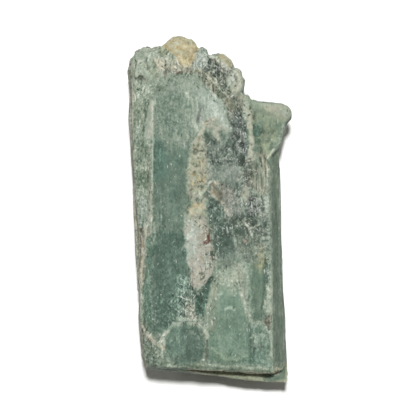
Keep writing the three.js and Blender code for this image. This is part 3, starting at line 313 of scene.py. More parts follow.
# Thin strokes over the patches: a path, half its width in mm, and the values that it sets.
STROKES = [
    # cream and brown lines down the left edge, and the dark line beside its splinter, which is painted
    # shadow beside the raised ridge
    ([(-12.6, 20.0), (-12.4, 12.0), (-12.1, 4.0), (-11.7, -3.0)], 0.16, {"tone": 1.0, "cream": 0.7}),
    ([(-9.05, 10.6), (-9.1, 6.6), (-9.3, 2.2)], 0.13, {"tone": 1.0, "grey": 0.5}),
    ([(-9.3, 2.2), (-9.3, -2.0), (-9.7, -4.6)], 0.12, {"tone": 0.85, "warm": 0.4}),
    ([(-8.75, 9.8), (-8.8, 5.2)], 0.14, {"tone": 0.0}),
    ([(-9.25, 17.0), (-9.2, 11.0)], 0.08, {"tone": 1.1, "cream": 0.5, "warm": 0.2}),
    ([(-9.9, 16.4), (-10.4, 14.2), (-10.7, 11.4)], 0.1, {"tone": 0.3, "olive": 0.5}),
    ([(-8.9, -2.6), (-8.6, -4.4), (-9.2, -6.0)], 0.12, {"tone": 0.7, "warm": 0.4}),
    ([(-10.9, -3.4), (-10.9, -7.4), (-11.1, -11.6)], 0.14, {"tone": 0.1, "warm": 1.0, "cream": 0}),
    ([(-10.4, -3.6), (-10.5, -6.4)], 0.12, {"tone": 0.15, "warm": 1.0, "cream": 0}),
    ([(-10.6, -4.0), (-10.7, -8.0), (-11.0, -12.4)], 0.12, {"tone": 1.0, "cream": 0.7}),
    ([(-7.9, 9.2), (-7.9, 7.4)], 0.1, {"tone": 0.6}),
    ([(-7.6, -0.2), (-7.6, -3.2)], 0.1, {"tone": 0.5}),
    # the right edge's pale lines
    ([(11.2, 3.2), (11.1, 0.0)], 0.12, {"tone": 1.0}),
    ([(11.9, -13.6), (12.1, -19.0)], 0.12, {"tone": 0.8}),
    ([(11.0, 5.6), (11.1, 3.4)], 0.1, {"tone": 0.9}),
    ([(9.6, -7.0), (9.75, -16.0), (9.7, -25.0)], 0.12, {"tone": 0.7, "olive": 0.3}),
    ([(9.6, 2.6), (9.6, -6.6)], 0.12, {"tone": 0.66}),
    # crossing splits below the horn
    ([(8.5, 8.9), (9.15, 8.0), (10.1, 9.4)], 0.12, {"tone": 1.2, "hair": 0.2}),
    ([(6.6, 7.6), (7.8, 8.2), (8.6, 9.2)], 0.14, {"tone": 0.95, "hair": 0.3}),
    # veins and rims in the rough field
    ([(-0.6, 2.9), (-0.3, 3.8), (0.5, 4.2), (1.1, 3.8)], 0.2, {"tone": 1.15, "mica": 0, "grey": 0.2}),
    ([(0.4, 1.8), (1.4, 1.1), (2.2, 0.3), (3.0, -1.2)], 0.2, {"tone": 1.0, "warm": 0.6, "mica": 0}),
    ([(1.0, 3.2), (1.8, 2.8), (1.8, 1.4)], 0.14, {"tone": 0.3, "warm": 1.0}),
    ([(4.3, 3.8), (4.4, 2.4), (4.0, 1.2)], 0.14, {"tone": 0.1, "mica": 0}),
    ([(4.6, -2.4), (5.0, -4.0)], 0.2, {"tone": 0.0, "mica": 0.3}),
    ([(5.2, -2.2), (6.2, -3.4), (7.6, -2.8)], 0.14, {"tone": 0.95}),
    ([(6.2, -3.4), (6.6, -4.6)], 0.12, {"tone": 0.9}),
    ([(3.6, -3.6), (4.0, -6.2), (4.9, -8.8)], 0.2, {"tone": 0.62, "hair": 0.2}),
    ([(9.2, -4.8), (8.2, -5.0)], 0.16, {"tone": 1.0}),
    ([(8.95, 2.3), (8.95, -0.6)], 0.26, {"tone": 0.92, "hair": 0, "mica": 0, "grey": 0.3}),
    ([(8.25, 1.8), (8.2, -0.6)], 0.1, {"tone": 0.1}),
    ([(7.0, 8.4), (7.0, 3.4)], 0.05, {"tone": 0.85}),
    ([(7.7, 8.0), (7.8, 3.8)], 0.05, {"tone": 0.85}),
    ([(8.4, 8.4), (8.6, 3.6)], 0.05, {"tone": 0.95, "warm": 0.5}),
    ([(9.0, 7.6), (9.1, 3.2)], 0.05, {"tone": 0.95, "olive": 0.4}),
    ([(7.35, 8.0), (7.35, 3.0)], 0.05, {"tone": 0.35}),
    ([(8.1, 8.0), (8.2, 3.2)], 0.05, {"tone": 0.35}),
    ([(8.75, 7.6), (8.85, 3.6)], 0.05, {"tone": 0.4}),
    # the cream rim of the yellow crust's upper end, and a crack across it
    ([(-0.5, 13.8), (-1.0, 12.8), (-1.7, 11.0)], 0.26, {"tone": 1.0, "cream": 0.8, "hair": 0.1, "grey": 0}),
    ([(-2.4, 9.2), (-1.6, 8.9), (-0.8, 9.1)], 0.1, {"tone": 0.1, "warm": 1.0, "cream": 0}),
    # the tongue's rims and its small arcs
    ([(4.6, -12.4), (5.3, -14.7), (5.9, -17.0), (6.6, -18.1), (8.2, -18.2), (9.2, -19.6)],
     0.2, {"tone": 0.85, "warm": 0.2}),
    ([(0.7, -10.6), (0.3, -13.6), (-0.3, -15.8), (-0.5, -18.9)],
     0.13, {"tone": 0.85, "warm": 0.3, "hair": 0.3}),
    ([(2.4, -16.1), (3.1, -15.7), (3.9, -16.2)], 0.13, {"tone": 1.1}),
    ([(1.2, -13.9), (1.9, -13.6)], 0.12, {"tone": 1.0}),
    ([(0.4, -22.2), (1.0, -23.0), (2.4, -23.8), (4.4, -23.9), (5.9, -23.4)],
     0.08, {"tone": 0.72, "olive": 0.5}),
    ([(0.6, -23.7), (2.2, -24.3), (4.6, -24.4)], 0.1, {"tone": 0.4, "olive": 0.5}),
    ([(6.35, -8.8), (6.2, -13.0), (6.5, -17.0)], 0.14, {"tone": 0.6, "teal": 0.2}),
    ([(8.5, -9.6), (8.6, -12.4), (8.2, -16.0)], 0.16, {"tone": 0.06, "teal": 0.4}),
    ([(6.25, -18.8), (6.35, -24.6)], 0.1, {"tone": 0.1}),
    ([(6.4, -20.6), (6.9, -20.2), (7.3, -20.8), (7.0, -21.3)], 0.12, {"tone": 1.1}),
    ([(9.5, -19.8), (9.6, -24.6)], 0.12, {"tone": 0.95, "warm": 0.2}),
    # the ring of crust round the disc
    ([(-7.3, -22.6), (-7.4, -20.8), (-6.8, -19.6)], 0.26, {"tone": 0.95, "cream": 0.3, "hair": 0.5}),
    ([(-6.8, -19.6), (-5.8, -18.5), (-4.2, -18.1)], 0.14, {"tone": 0.85, "hair": 0.4}),
    ([(-4.8, -17.5), (-2.6, -17.7)], 0.26, {"tone": 1.1, "teal": 0.2, "hair": 0.4}),
    ([(-2.8, -18.4), (-1.2, -18.6), (-0.4, -20.0), (-0.35, -21.0)],
     0.26, {"tone": 0.95, "cream": 0.4, "hair": 0.5}),
    ([(-0.35, -21.0), (-0.5, -24.0)], 0.12, {"tone": 0.2, "warm": 0.6}),
    # the corner's diagonal break, and the pale lens at the foot
    ([(-11.0, -18.4), (-9.8, -20.0), (-8.6, -21.4), (-7.2, -22.0)],
     0.26, {"tone": 0.85, "cream": 0.45, "warm": 0.4, "hair": 0.5}),
    ([(-10.9, -19.0), (-9.9, -20.5), (-9.2, -21.4)], 0.1, {"tone": 0.0, "warm": 0.9}),
    ([(-6.6, -25.0), (-4.8, -25.3)], 0.22, {"tone": 1.1, "hair": 0.2}),
    # the pale line of the plate's edge over the foot, and beyond it a dark olive line of painted shade
    # where the groove lies
    ([(-2.0, -24.7), (3.0, -25.0), (9.2, -25.5)], 0.07, {"tone": 0.7, "olive": 0.7, "cream": 0.15}),
    ([(-3.2, -25.1), (2.0, -25.4), (9.0, -25.9)], 0.08, {"tone": 0.2, "olive": 0.8, "hair": 0}),
    # the rusty seam and the pale seam of the upper end
    ([(-6.1, 21.9), (-5.2, 21.5), (-4.4, 21.8)], 0.12, {"rust": 0.62, "tone": 0.2}),
    ([(-2.8, 22.6), (-0.6, 21.6), (1.2, 19.6), (2.6, 18.2)], 0.08, {"tone": 0.95, "mica": 0, "warm": 0.2}),
    # an ochre scratch in the horn's hollow, and the rusty and olive veins of the quartz
    ([(7.6, 11.1), (8.4, 11.9)], 0.12, {"sand": 0.55, "olive": 0.6}),
    ([(0.0, -3.6), (-0.3, -5.0)], 0.14, {"olive": 1.0, "tone": 0.2, "quartz": 0, "cream": 0}),
    ([(-0.3, -4.6), (-0.45, -5.5), (-0.6, -6.1)], 0.16, {"rust": 0.8, "quartz": 0.2}),
    ([(0.3, -7.2), (0.5, -8.2)], 0.2, {"olive": 1.0, "tone": 0, "quartz": 0, "cream": 0}),
]

# Small round spots: centre, radius in mm, and the values that they set.
SPOTS = [
    ((-0.45, -5.5), 0.5, {"rust": 0.9, "quartz": 0, "cream": 0, "tone": 0.1}),
    ((-12.3, 21.8), 0.45, {"rust": 0.5, "sand": 0.5}),
    ((-11.0, 20.8), 0.3, {"tone": 0.0}),
    ((2.2, 0.5), 0.2, {"rust": 0.8}),
    ((-9.1, -21.0), 0.26, {"sand": 0.8, "rust": 0.3}),
    ((-7.1, -22.4), 0.24, {"sand": 0.9}),
    ((5.6, -5.4), 0.4, {"rust": 0.4, "warm": 0.8}),
    ((9.0, -18.6), 0.26, {"rust": 0.5}),
    ((10.6, -25.7), 0.5, {"sand": 0.5, "cream": 0.6, "tone": 0.7, "olive": 0.6}),
    # two pin holes, painted dark for their shade
    ((8.2, -21.9), 0.17, {"tone": 0.0, "grey": 1.0, "mica": 0.8}),
    ((-9.8, -24.2), 0.17, {"tone": 0.0, "rust": 0.5}),
    ((-10.9, -5.0), 0.2, {"rust": 0.7, "cream": 0}),
    ((-10.9, -7.8), 0.16, {"rust": 0.5, "cream": 0}),
    # two painted glints, tiny bright highlights
    ((-0.9, -24.0), 0.2, {"tone": 1.2}),
    ((6.2, 14.5), 0.2, {"tone": 1.2, "cream": 0}),
    ((2.9, 8.0), 0.3, {"rust": 0.25}),
    ((10.9, -3.0), 0.24, {"cream": 0.8, "tone": 1.0}),
]

# Caps of sandy crust that hang over the upper end: an outline, how soft its edge is in mm, and how
# much of the stone they cover.
SAND_CAPS = [
    ([(-7.8, 26.2), (-6.4, 25.0), (-5.4, 24.0), (-4.6, 23.0), (-3.0, 22.6), (-2.4, 23.4), (-2.2, 24.8),
      (-1.8, 26.2), (-3.0, 28.6), (-7.4, 28.2)], 0.9, 1.0),
    ([(1.2, 26.0), (1.3, 24.0), (2.4, 23.0), (3.6, 22.6), (4.4, 23.2), (3.2, 26.0)], 0.6, 0.62),
]

# Where the plates' edges have worn away, so that they only show as a change of colour: an outline
# and how soft its edge is in mm.
WORN = [
    ([(-9.6, -2.0), (-3.6, -2.0), (-3.4, -7.6), (-9.6, -7.6)], 0.8),
    ([(-9.4, 20.4), (-5.0, 22.0), (-1.8, 22.4), (-1.6, 20.2), (-6.0, 18.8), (-9.0, 17.6)], 0.6),
    ([(-4.9, -9.0), (-1.6, -12.4), (-2.0, -18.4), (-7.4, -22.4), (-9.8, -21.4), (-6.4, -16.0)], 0.6),
    ([(-10.6, -6.0), (-9.2, -6.0), (-9.4, -18.0), (-10.6, -18.0)], 0.4),
    ([(1.0, -7.4), (9.0, -7.0), (9.2, -19.4), (6.0, -20.4), (4.2, -16.0), (1.0, -12.0)], 0.5),
    ([(-1.4, -12.0), (6.0, -12.0), (6.6, -24.6), (-1.0, -24.2)], 0.4),
    ([(-4.6, -1.0), (-2.9, -1.0), (-2.4, -12.0), (-4.4, -12.0)], 0.4),
    ([(-12.8, 20.4), (-9.0, 20.4), (-9.0, 17.4), (-12.8, 17.4)], 0.5),
    ([(-10.2, 18.0), (-8.5, 18.0), (-8.5, -3.0), (-10.2, -3.0)], 0.3),
    ([(10.5, -24.2), (14.0, -24.2), (14.0, -28.0), (10.5, -28.0)], 0.4),
]

# Where the right strip's end has worn down to the ledge at the foot.
WORN_STEP = ([(10.2, -24.2), (12.1, -24.2), (12.1, -26.7), (10.2, -26.7)], 0.3)

# What the caps of sandy crust set.
SAND_VALUES = {"sand": 1.0, "cream": 0, "mica": 0, "hair": 0.3, "grainy": 0.6, "tone": 0.9}

# The next pairs are the two ends of a smooth step. The upper surface is where the upward part of
# a normal and the height in mm are past theirs, and a cap reaches a little down the sides.
UPPER_FACING = (0.25, 0.6)
UPPER_Z = (6.4, 7.4)
CAP_Z = (5.5, 8.5)
SIDE_FACING = (0.45, 0.8)
UNDER_FACING = (0.5, 0.9)
# the upper end, broken up and crusted, along y in mm
BROKEN_END_Y = (19.5, 22.0)

# How far outlines and strokes wander from their drawn lines, and how soft a stroke's edge is.
OUTLINE_WANDER_MM = 0.35
STROKE_WANDER_MM = 0.12
STROKE_EDGE_MM = 0.16

# The rim of the ledge at the foot passes through this point, and falls as it goes right.
FOOT_RIM_X = -5
FOOT_RIM_Y = -25.9
FOOT_RIM_FALL = 0.095

# The middle of the disc at the foot.
DISC_X = -3.9
DISC_Y = -21.7

# How many times a vertex takes its neighbours' mean: to wear an edge away, and to find the level
# of the surface close around it and further out.
WEAR_ROUNDS = 24
NEAR_ROUNDS = 5
WIDE_ROUNDS = 24


def segment_distances(points, line):
    """Distance in plan from each point to an open line of segments."""
    nearest = np.full(len(points), np.inf)
    for start, end in zip(line[:-1], line[1:]):
        start, end = np.array(start, float), np.array(end, float)
        run = end - start
        along = np.clip(((points - start) @ run) / (run @ run), 0, 1)
        gap = np.linalg.norm(points - start - along[:, None] * run, axis=1)
        nearest = np.minimum(nearest, gap)
    return nearest


def depth_inside(points, outline):
    """Distance in plan from a closed outline, counted positive inside it."""
    closed = [*outline, outline[0]]
    inside = np.zeros(len(points), bool)
    x, y = points.T
    for (x0, y0), (x1, y1) in zip(closed[:-1], closed[1:]):
        if y0 == y1:
            continue
        crosses = (y0 > y) != (y1 > y)
        inside ^= crosses & (x < (x1 - x0) * (y - y0) / (y1 - y0) + x0)
    gap = segment_distances(points, closed)
    return np.where(inside, gap, -gap)


def ramp(values, low, high):
    """Smooth step from 0 at low to 1 at high."""
    share = np.clip((values - low) / (high - low), 0, 1)
    return share * share * (3 - 2 * share)


def foot_rim(x):
    """Where the rim of the ledge at the foot lies, along y."""
    return FOOT_RIM_Y - FOOT_RIM_FALL * (x - FOOT_RIM_X)


def cloud(points, size_mm, seed, octaves=1):
    """Smooth random values, about -1 to 1, in blobs of the given size along x, y and z."""
    shifted = points / np.array(size_mm, float) + np.array([seed * 17.31, seed * 5.93, seed * 11.17])
    if octaves == 1:
        return np.array([noise.noise(point) for point in shifted])
    # each octave is a little over twice as fine as the one before, and about half as high
    return np.array([noise.fractal(point, 0.9, 2.1, octaves) for point in shifted])


def shards(points, size_mm, seed, tilt, step_mm):
    """Heights of a surface broken into flat shards, each tilted and set up or down a little."""
    random = np.random.default_rng(seed)
    size = np.array(size_mm, float)
    low, high = points.min(0) - size, points.max(0) + size
    rows = [np.arange(start, end, step) for start, end, step in zip(low, high, size)]
    centres = np.stack(np.meshgrid(*rows), -1).reshape(-1, len(size))
    centres = centres + random.uniform(-0.45, 0.45, centres.shape) * size
    slopes = random.normal(0, tilt, centres.shape)
    levels = random.uniform(-step_mm, step_mm, len(centres))
    nearest = np.empty(len(points), int)
    # a few thousand points at a time, to spare memory
    at_once = 4096
    for start in range(0, len(points), at_once):
        block = slice(start, start + at_once)
        gaps = points[block, None] / size - centres[None] / size
        nearest[block] = (gaps**2).sum(2).argmin(1)
    return levels[nearest] + ((points - centres[nearest]) * slopes[nearest]).sum(1)


def vectors(items, name):
    """A value with three parts from each item of a collection, as the rows of an array."""
    values = np.empty(len(items) * 3)
    items.foreach_get(name, values)
    return values.reshape(-1, 3)


class Skin:
    """The crystal's surface as arrays: plan points in millimetres, normals and wandering edges."""

    def __init__(self, mesh):
        self.mesh = mesh
        self.points = vectors(mesh.vertices, "co") / MM - PLAN_ORIGIN_MM
        self.facing = vectors(mesh.vertex_normals, "vector")
        edges = np.empty(len(mesh.edges) * 2, int)
        mesh.edges.foreach_get("vertices", edges)
        self.edges = edges.reshape(-1, 2)
        self.up = ramp(self.facing[:, 2], *UPPER_FACING) * ramp(self.points[:, 2], *UPPER_Z)
        wander = [cloud(self.points, (1.0, 1.3, 1.0), seed, 3) for seed in (3, 4)]
        self.wander = np.stack(wander, 1)
        self.plan = self.points[:, :2] + OUTLINE_WANDER_MM * self.wander

    def area(self, outline, soft_mm):
        """1 on the upper surface inside an outline, with a ragged edge."""
        return self.up * ramp(depth_inside(self.plan, outline), -soft_mm, soft_mm)

    def cap(self, outline, soft_mm):
        """1 inside an outline, on the upper surface and down the sides."""
        inside = ramp(depth_inside(self.plan, outline), -soft_mm, soft_mm)
        return inside * ramp(self.points[:, 2], *CAP_Z)

    def band(self, path, half_width_mm):
        """1 on the upper surface near a line."""
        reach = segment_distances(self.points[:, :2] + STROKE_WANDER_MM * self.wander, path)
        return self.up * (1 - ramp(reach, half_width_mm * 0.6, half_width_mm + STROKE_EDGE_MM))

    def spot(self, centre, radius_mm):
        """1 on the upper surface in a small spot."""
        gap = np.linalg.norm(self.plan - np.array(centre), axis=1)
        return self.up * (1 - ramp(gap, radius_mm * 0.6, radius_mm * 1.4))

    def side(self):
        """1 where the surface stands upright."""
        return 1 - ramp(np.abs(self.facing[:, 2]), *SIDE_FACING)

    def broken_end(self):
        """1 over the upper end, which is broken across the blades."""
        return ramp(self.points[:, 1], *BROKEN_END_Y)

    def foot_ledge(self):
        """Two shares: 1 on the ledge that stands out at the foot, and 1 on its rim alone."""
        x, y, z = self.points.T
        ledge = self.up * ramp(-y, 24.2, 24.8) * (1 - ramp(z, 9.0, 9.8)) * ramp(z, 6.8, 7.2)
        return ledge, ledge * ramp(foot_rim(x) - y, -0.1, 0.25)

    def foot_wall(self):
        """Up to 1 on the wall over the ledge at the foot, and most on its right."""
        x, y, z = self.points.T
        inner = ramp(-y, 24.0, 24.6) * ramp(y - foot_rim(x), -0.1, 0.2)
        across = 0.35 * ramp(x, -3.0, -1.0) + 0.65 * ramp(x, 4.0, 7.0)
        return (1 - self.up) * inner * ramp(z, 6.6, 7.4) * across

    def evened(self, values, rounds):
        """Values averaged with their neighbours' a number of times."""
        flat = values.reshape(len(values), -1).copy()
        one, other = self.edges.T
        count = np.bincount(one, minlength=len(flat)) + np.bincount(other, minlength=len(flat))
        for _ in range(rounds):
            total = np.empty_like(flat)
            for part in range(flat.shape[1]):
                column = flat[:, part]
                total[:, part] = np.bincount(one, column[other], len(flat))
                total[:, part] += np.bincount(other, column[one], len(flat))
            flat = total / count[:, None]
        return flat.reshape(values.shape)

    def stand(self, rounds):
        """How far each vertex stands out of the surface around it, in mm, or lies in it."""
        return ((self.points - self.evened(self.points, rounds)) * self.facing).sum(1)

    def soften(self, share, rounds):
        """Wears the surface towards its neighbours' mean, where share is above 0."""
        even = self.evened(self.points, rounds)
        self.place(self.points + (even - self.points) * share[:, None])

    def move(self, along_normal_mm):
        """Moves every vertex along its normal."""
        self.place(self.points + self.facing * along_normal_mm[:, None])

    def place(self, points):
        """Puts the vertices at new points, none of them below the floor."""
        self.points = points
        self.points[:, 2] = np.maximum(self.points[:, 2], 0)
        self.mesh.vertices.foreach_set("co", ((self.points + PLAN_ORIGIN_MM) * MM).ravel())
        self.mesh.update()
        self.facing = vectors(self.mesh.vertex_normals, "vector")

    def keep(self, name, values):
        """Stores values on the vertices, for the material."""
        layer = self.mesh.attributes.new(name, "FLOAT", "POINT")
        layer.data.foreach_set("value", np.clip(values, 0, 1).astype(np.float32))


# ------------------------------------------------------------------ the crystal's skin


def even_skin(source, name, voxel):
    """A copy of a solid's mesh, merged and rebuilt with faces of one size, given in metres."""
    mesh = source.data.copy()
    mesh.name = name
    shell = bmesh.new()
    shell.from_mesh(mesh)
    bmesh.ops.remove_doubles(shell, verts=shell.verts, dist=1e-7)
    shell.to_mesh(mesh)
    shell.free()
    crystal = bpy.data.objects.new(name, mesh)
    bpy.context.scene.collection.objects.link(crystal)
    remesh = crystal.modifiers.new("even skin", "REMESH")
    remesh.mode = "VOXEL"
    remesh.voxel_size = voxel
    remesh.use_smooth_shade = True
    depsgraph = bpy.context.evaluated_depsgraph_get()
    skin = bpy.data.meshes.new_from_object(crystal.evaluated_get(depsgraph))
    crystal.modifiers.clear()
    crystal.data = skin
    skin.name = name
    skin.materials.clear()
    bpy.data.meshes.remove(mesh)
    shell = bmesh.new()
    shell.from_mesh(skin)
    bmesh.ops.smooth_vert(
        shell, verts=shell.verts, factor=0.5, use_axis_x=True, use_axis_y=True, use_axis_z=True
    )
    shell.to_mesh(skin)
    shell.free()
    return crystal


def lay(paint, share, values):
    """Lays values over the paint: wholly where share is 1, and not where it is 0."""
    for name, value in values.items():
        paint[name] = paint[name] * (1 - share) + value * share


def bare_paint(skin):
    """The values before any patch, which most of the sides, the ends and the underside keep."""
    side = skin.side()
    end = skin.broken_end()
    # patches of crust on the sides, and the left edge: pale, but stained where it is upright
    crusted = ramp(cloud(skin.points, (5.0, 9.0, 2.6), 8, 3), 0.28, 0.5) * (1 - skin.up)
    left = ramp(-skin.facing[:, 0], 0.2, 0.7) * ramp(skin.points[:, 2], 5.5, 7.5) * (1 - skin.up)
    stained = left * ramp(-skin.facing[:, 0], 0.8, 0.95)
    along_blades = cloud(skin.points, (4.0, 14.0, 3.0), 21, 3)
    none = np.zeros(len(skin.points))
    return {
        "tone": 0.46 + 0.2 * along_blades + 0.2 * end + 0.5 * left - 0.5 * stained,
        "olive": 0.2 + 0.2 * end,
        "teal": none,
        "warm": np.maximum(0.2 * crusted, 0.4 * left + 0.5 * stained),
        "grey": 0.2 + 0.2 * side,
        "cream": np.maximum(0.5 * crusted, 0.55 * (left - stained)),
        "sand": none,
        "quartz": none,
        "mica": 0.2 * end,
        "rust": none,
        "grainy": 0.3 + 0.3 * end,
        "streaky": 0.3 + 0.4 * side,
        "hair": 0.12 + 0.4 * end,
        "broken": 0.6 * end,
    }


def paint_minerals(skin):
    """The values of every mineral, tint and texture on the skin, from about 0 to 1."""
    paint = bare_paint(skin)
    for outline, soft, values in PATCHES:
        lay(paint, skin.area(outline, soft), values)
    for path, half_width, values in STROKES:
        lay(paint, skin.band(path, half_width), values)
    for centre, radius, values in SPOTS:
        lay(paint, skin.spot(centre, radius), values)
    for outline, soft, cover in SAND_CAPS:
        lay(paint, skin.cap(outline, soft) * cover, SAND_VALUES)

    # the ledge that stands out at the foot: olive by the wall, greyer on its rim, dark at its right
    ledge, rim = skin.foot_ledge()
    right = ledge * ramp(skin.points[:, 0], 7.6, 9.6)
    # painted light: the wall over the ledge is olive, and painted paler to lift the shade it stands in,
    # most on its right
    lay(paint, skin.foot_wall(), {"tone": 0.9, "olive": 1.0, "grey": 0, "cream": 0.35, "warm": 0.4})
    lay(paint, ledge, {"tone": 0.86, "olive": 1.0, "grey": 0, "hair": 0.1, "streaky": 0.2, "warm": 0.3})
    lay(paint, rim, {"tone": 0.72, "olive": 0.2, "grey": 0.4, "hair": 0.2})
    lay(paint, right, {"tone": 0.46, "olive": 0.3, "grey": 0.2, "warm": 0})

    # the disc at the foot, with a darker and bluer stripe down its middle
    x, y = skin.plan.T
    reach = np.hypot(x - DISC_X, (y - DISC_Y) * 1.02)
    disc = skin.up * (1 - ramp(reach, 2.9, 3.3))
    stripe = skin.up * (1 - ramp(np.abs(x + 3.4), 0.1, 0.8)) * (1 - ramp(reach, 1.8, 2.8))
    lay(paint, disc, {"tone": 0.31, "teal": 0.35, "grainy": 0.2, "hair": 0.15})
    lay(paint, stripe, {"tone": 0.06, "teal": 0.5, "grey": 0.3})

    # a tone of 1 is frost, which stands at 0.8 on the material's ramp, and painted glints reach past it
    paint["tone"] *= 0.8
    return paint


def weather(skin, paint, sizes):
    """Moves the skin: worn plate edges, split cleavage, crust grains and broken facets."""
    worn = skin.cap(*WORN_STEP)
    for outline, soft in WORN:
        worn = np.maximum(worn, skin.area(outline, soft))
    skin.soften(worn, WEAR_ROUNDS)

    # every height below is in mm, and every cloud's size is given along x, y and z
    points = skin.points
    striation_mm = sizes.striation / MM
    crust_mm = sizes.crust / MM
    crusted = np.maximum.reduce([paint["cream"], 0.4 * paint["sand"], 0.8 * skin.broken_end()])
    # sandy crust lies smoother than the rest
    sand_free = 1 - 0.8 * ramp(paint["sand"], 0.3, 0.8)
    # the sides are split into ledges and grooves along the blades, the right side least
    ledges = np.tanh(3.5 * cloud(points, (6.0, 22.0, 0.62), 32, 2))
    grooves = 0.5 - np.abs(cloud(points, (0.75, 16.0, 0.75), 33, 2)) ** 0.6
    fine_ribs = cloud(points, (0.42, 7.0, 0.42), 34)
    split = 0.4 * ledges + 0.45 * grooves + 0.3 * fine_ribs
    roughness = 1 - 0.6 * ramp(skin.facing[:, 0], 0.2, 0.6)
    # the rough field is broken into facets and flakes, whose edges are bent
    bend = np.stack([cloud(points, (1.1, 1.1, 1.1), seed, 2) for seed in (51, 52, 53)], 1)
    bent = (points + 0.35 * bend)[:, :2]
    facets = shards(bent, (1.3, 1.9), 61, 0.1, 0.09)
    flakes = shards(bent, (0.62, 0.8), 62, 0.16, 0.08)
    chips = -ramp(cloud(points, (2.2, 3.4, 1.6), 37, 3), 0.42, 0.62)
    # the wall over the foot's ledge is a stack of stepped blades
    steps = np.tanh(4 * cloud(points, (9.0, 9.0, 0.9), 41)) + 0.6
    move = (
        0.07 * cloud(points, (4.5, 9.0, 3.5), 31, 2)
        + skin.side() * roughness * striation_mm * split
        + skin.up * striation_mm * 0.2 * cloud(points, (0.7, 9.0, 4.0), 38, 2) * paint["streaky"]
        + crusted * crust_mm * cloud(points, (1.0, 1.2, 1.0), 35, 4) * sand_free
        + 0.28 * skin.foot_wall() * steps
        + skin.up * paint["broken"] * facets
        + skin.up * paint["mica"] * flakes
        + 0.08 * (1 - crusted) * (1 - skin.up) * chips
        + 0.05 * paint["quartz"] * cloud(points, (1.4, 2.4, 1.0), 39, 2)
    )
    # the face that it rests on stays flat
    under = ramp(-skin.facing[:, 2], *UNDER_FACING)
    skin.move(move * (1 - under))


def paint_wear_and_shade(skin, paint):
    """Marks the worn edges, which whiten, and the crevices, which take dirt and painted shade."""
    near_mm = 0.05
    wide_mm = 0.16
    stand = skin.stand(NEAR_ROUNDS) / near_mm + skin.stand(WIDE_ROUNDS) / wide_mm
    # the edges at the foot are less bruised, and sand and quartz show less dirt and painted shade
    foot = ramp(-skin.points[:, 1], 23.6, 24.4)
    covered = np.maximum(paint["sand"], paint["quartz"])
    paint["edge"] = ramp(stand, 0.5, 2.4) * (1 - 0.7 * foot)
    # darker where the skin lies below the surface around it: dirt, and painted shade in the crevices
    paint["crevice_dirt_and_shade"] = ramp(-stand, 0.4, 2.4) * (1 - 0.7 * covered)


# ------------------------------------------------------------------ the material

# The inputs A and B of a Mix node for colours, and its result, whose names other sockets share.
MIX_A = 6
MIX_B = 7
MIX_RESULT = 2


def add_node(tree, kind, sockets, **settings):
    """Adds a node with its settings, and fills or links each input by name or number.

    By number, a Map Range takes its value, the range that is used and the range that it gives.
    """
    new = tree.nodes.new(kind)
    for name, value in settings.items():
        setattr(new, name, value)
    for key, value in sockets.items():
        if isinstance(value, bpy.types.NodeSocket):
            tree.links.new(value, new.inputs[key])
        else:
            new.inputs[key].default_value = value
    return new


def stone_textures(tree, mm):
    """The stone's patterns, each from about 0 to 1, made on coordinates in millimetres."""
    wander = add_node(tree, "ShaderNodeTexNoise", {"Vector": mm, "Scale": 0.8, "Detail": 3.0})
    bent = add_node(
        tree, "ShaderNodeVectorMath", {0: wander.outputs["Color"], 1: (1.2, 1.2, 1.2), 2: mm},
        operation="MULTIPLY_ADD",
    ).outputs[0]
    blades = add_node(tree, "ShaderNodeMapping", {"Vector": bent, "Scale": (1.0, 0.12, 1.0)}).outputs[0]
    grains = {}
    for name, vector, size_mm, detail in (
        ("mottle", mm, 0.38, 2),
        ("blot", bent, 1.5, 3),
        ("cloud", mm, 4.5, 2),
        ("streak", blades, 0.34, 3),
        ("rib", blades, 0.9, 3),
        ("glint_fleck", mm, 0.42, 1),
        ("pin", blades, 0.40, 2),
    ):
        sockets = {"Vector": vector, "Scale": 1 / size_mm, "Detail": detail, "Roughness": 0.6}
        grains[name] = add_node(tree, "ShaderNodeTexNoise", sockets).outputs[0]
    for name, vector, size_mm in (("flake", bent, 0.42), ("shard", bent, 1.3), ("splinter", blades, 0.5)):
        cells = add_node(tree, "ShaderNodeTexVoronoi", {"Vector": vector, "Scale": 1 / size_mm})
        parts = add_node(tree, "ShaderNodeSeparateColor", {"Color": cells.outputs["Color"]})
        grains[name] = parts.outputs[0]
    # a net of ridges between the crust's grains
    net = add_node(
        tree, "ShaderNodeTexVoronoi", {"Vector": bent, "Scale": 1 / 1.3}, feature="DISTANCE_TO_EDGE"
    )
    grains["net"] = net.outputs["Distance"]

    # Fine splinters lie in three directions: the highest of them are painted glints, the lowest gaps of
    # painted shade. Real ones are finer than 0.1 mm, and these are as coarse as they need to be to show.
    splinter_mm = 0.24
    splinters = []
    for degrees, offset, length_mm in ((4, 0, 1.5), (-34, 40, 0.9), (50, 80, 0.8)):
        sockets = {
            "Vector": mm,
            "Location": (offset, 0, 0),
            "Rotation": (0, 0, math.radians(degrees)),
            "Scale": (splinter_mm, length_mm, 0.4),
        }
        turned = add_node(tree, "ShaderNodeMapping", sockets, vector_type="TEXTURE")
        sockets = {"Vector": turned.outputs[0], "Scale": 1.0, "Detail": 1.0}
        splinters.append(add_node(tree, "ShaderNodeTexNoise", sockets).outputs[0])
    first, second, third = splinters
    for name, kind in (("glint", "MAXIMUM"), ("gap", "MINIMUM")):
        pair = add_node(tree, "ShaderNodeMath", {0: first, 1: second}, operation=kind)
        grains[name] = add_node(
            tree, "ShaderNodeMath", {0: pair.outputs[0], 1: third}, operation=kind
        ).outputs[0]
    return grains


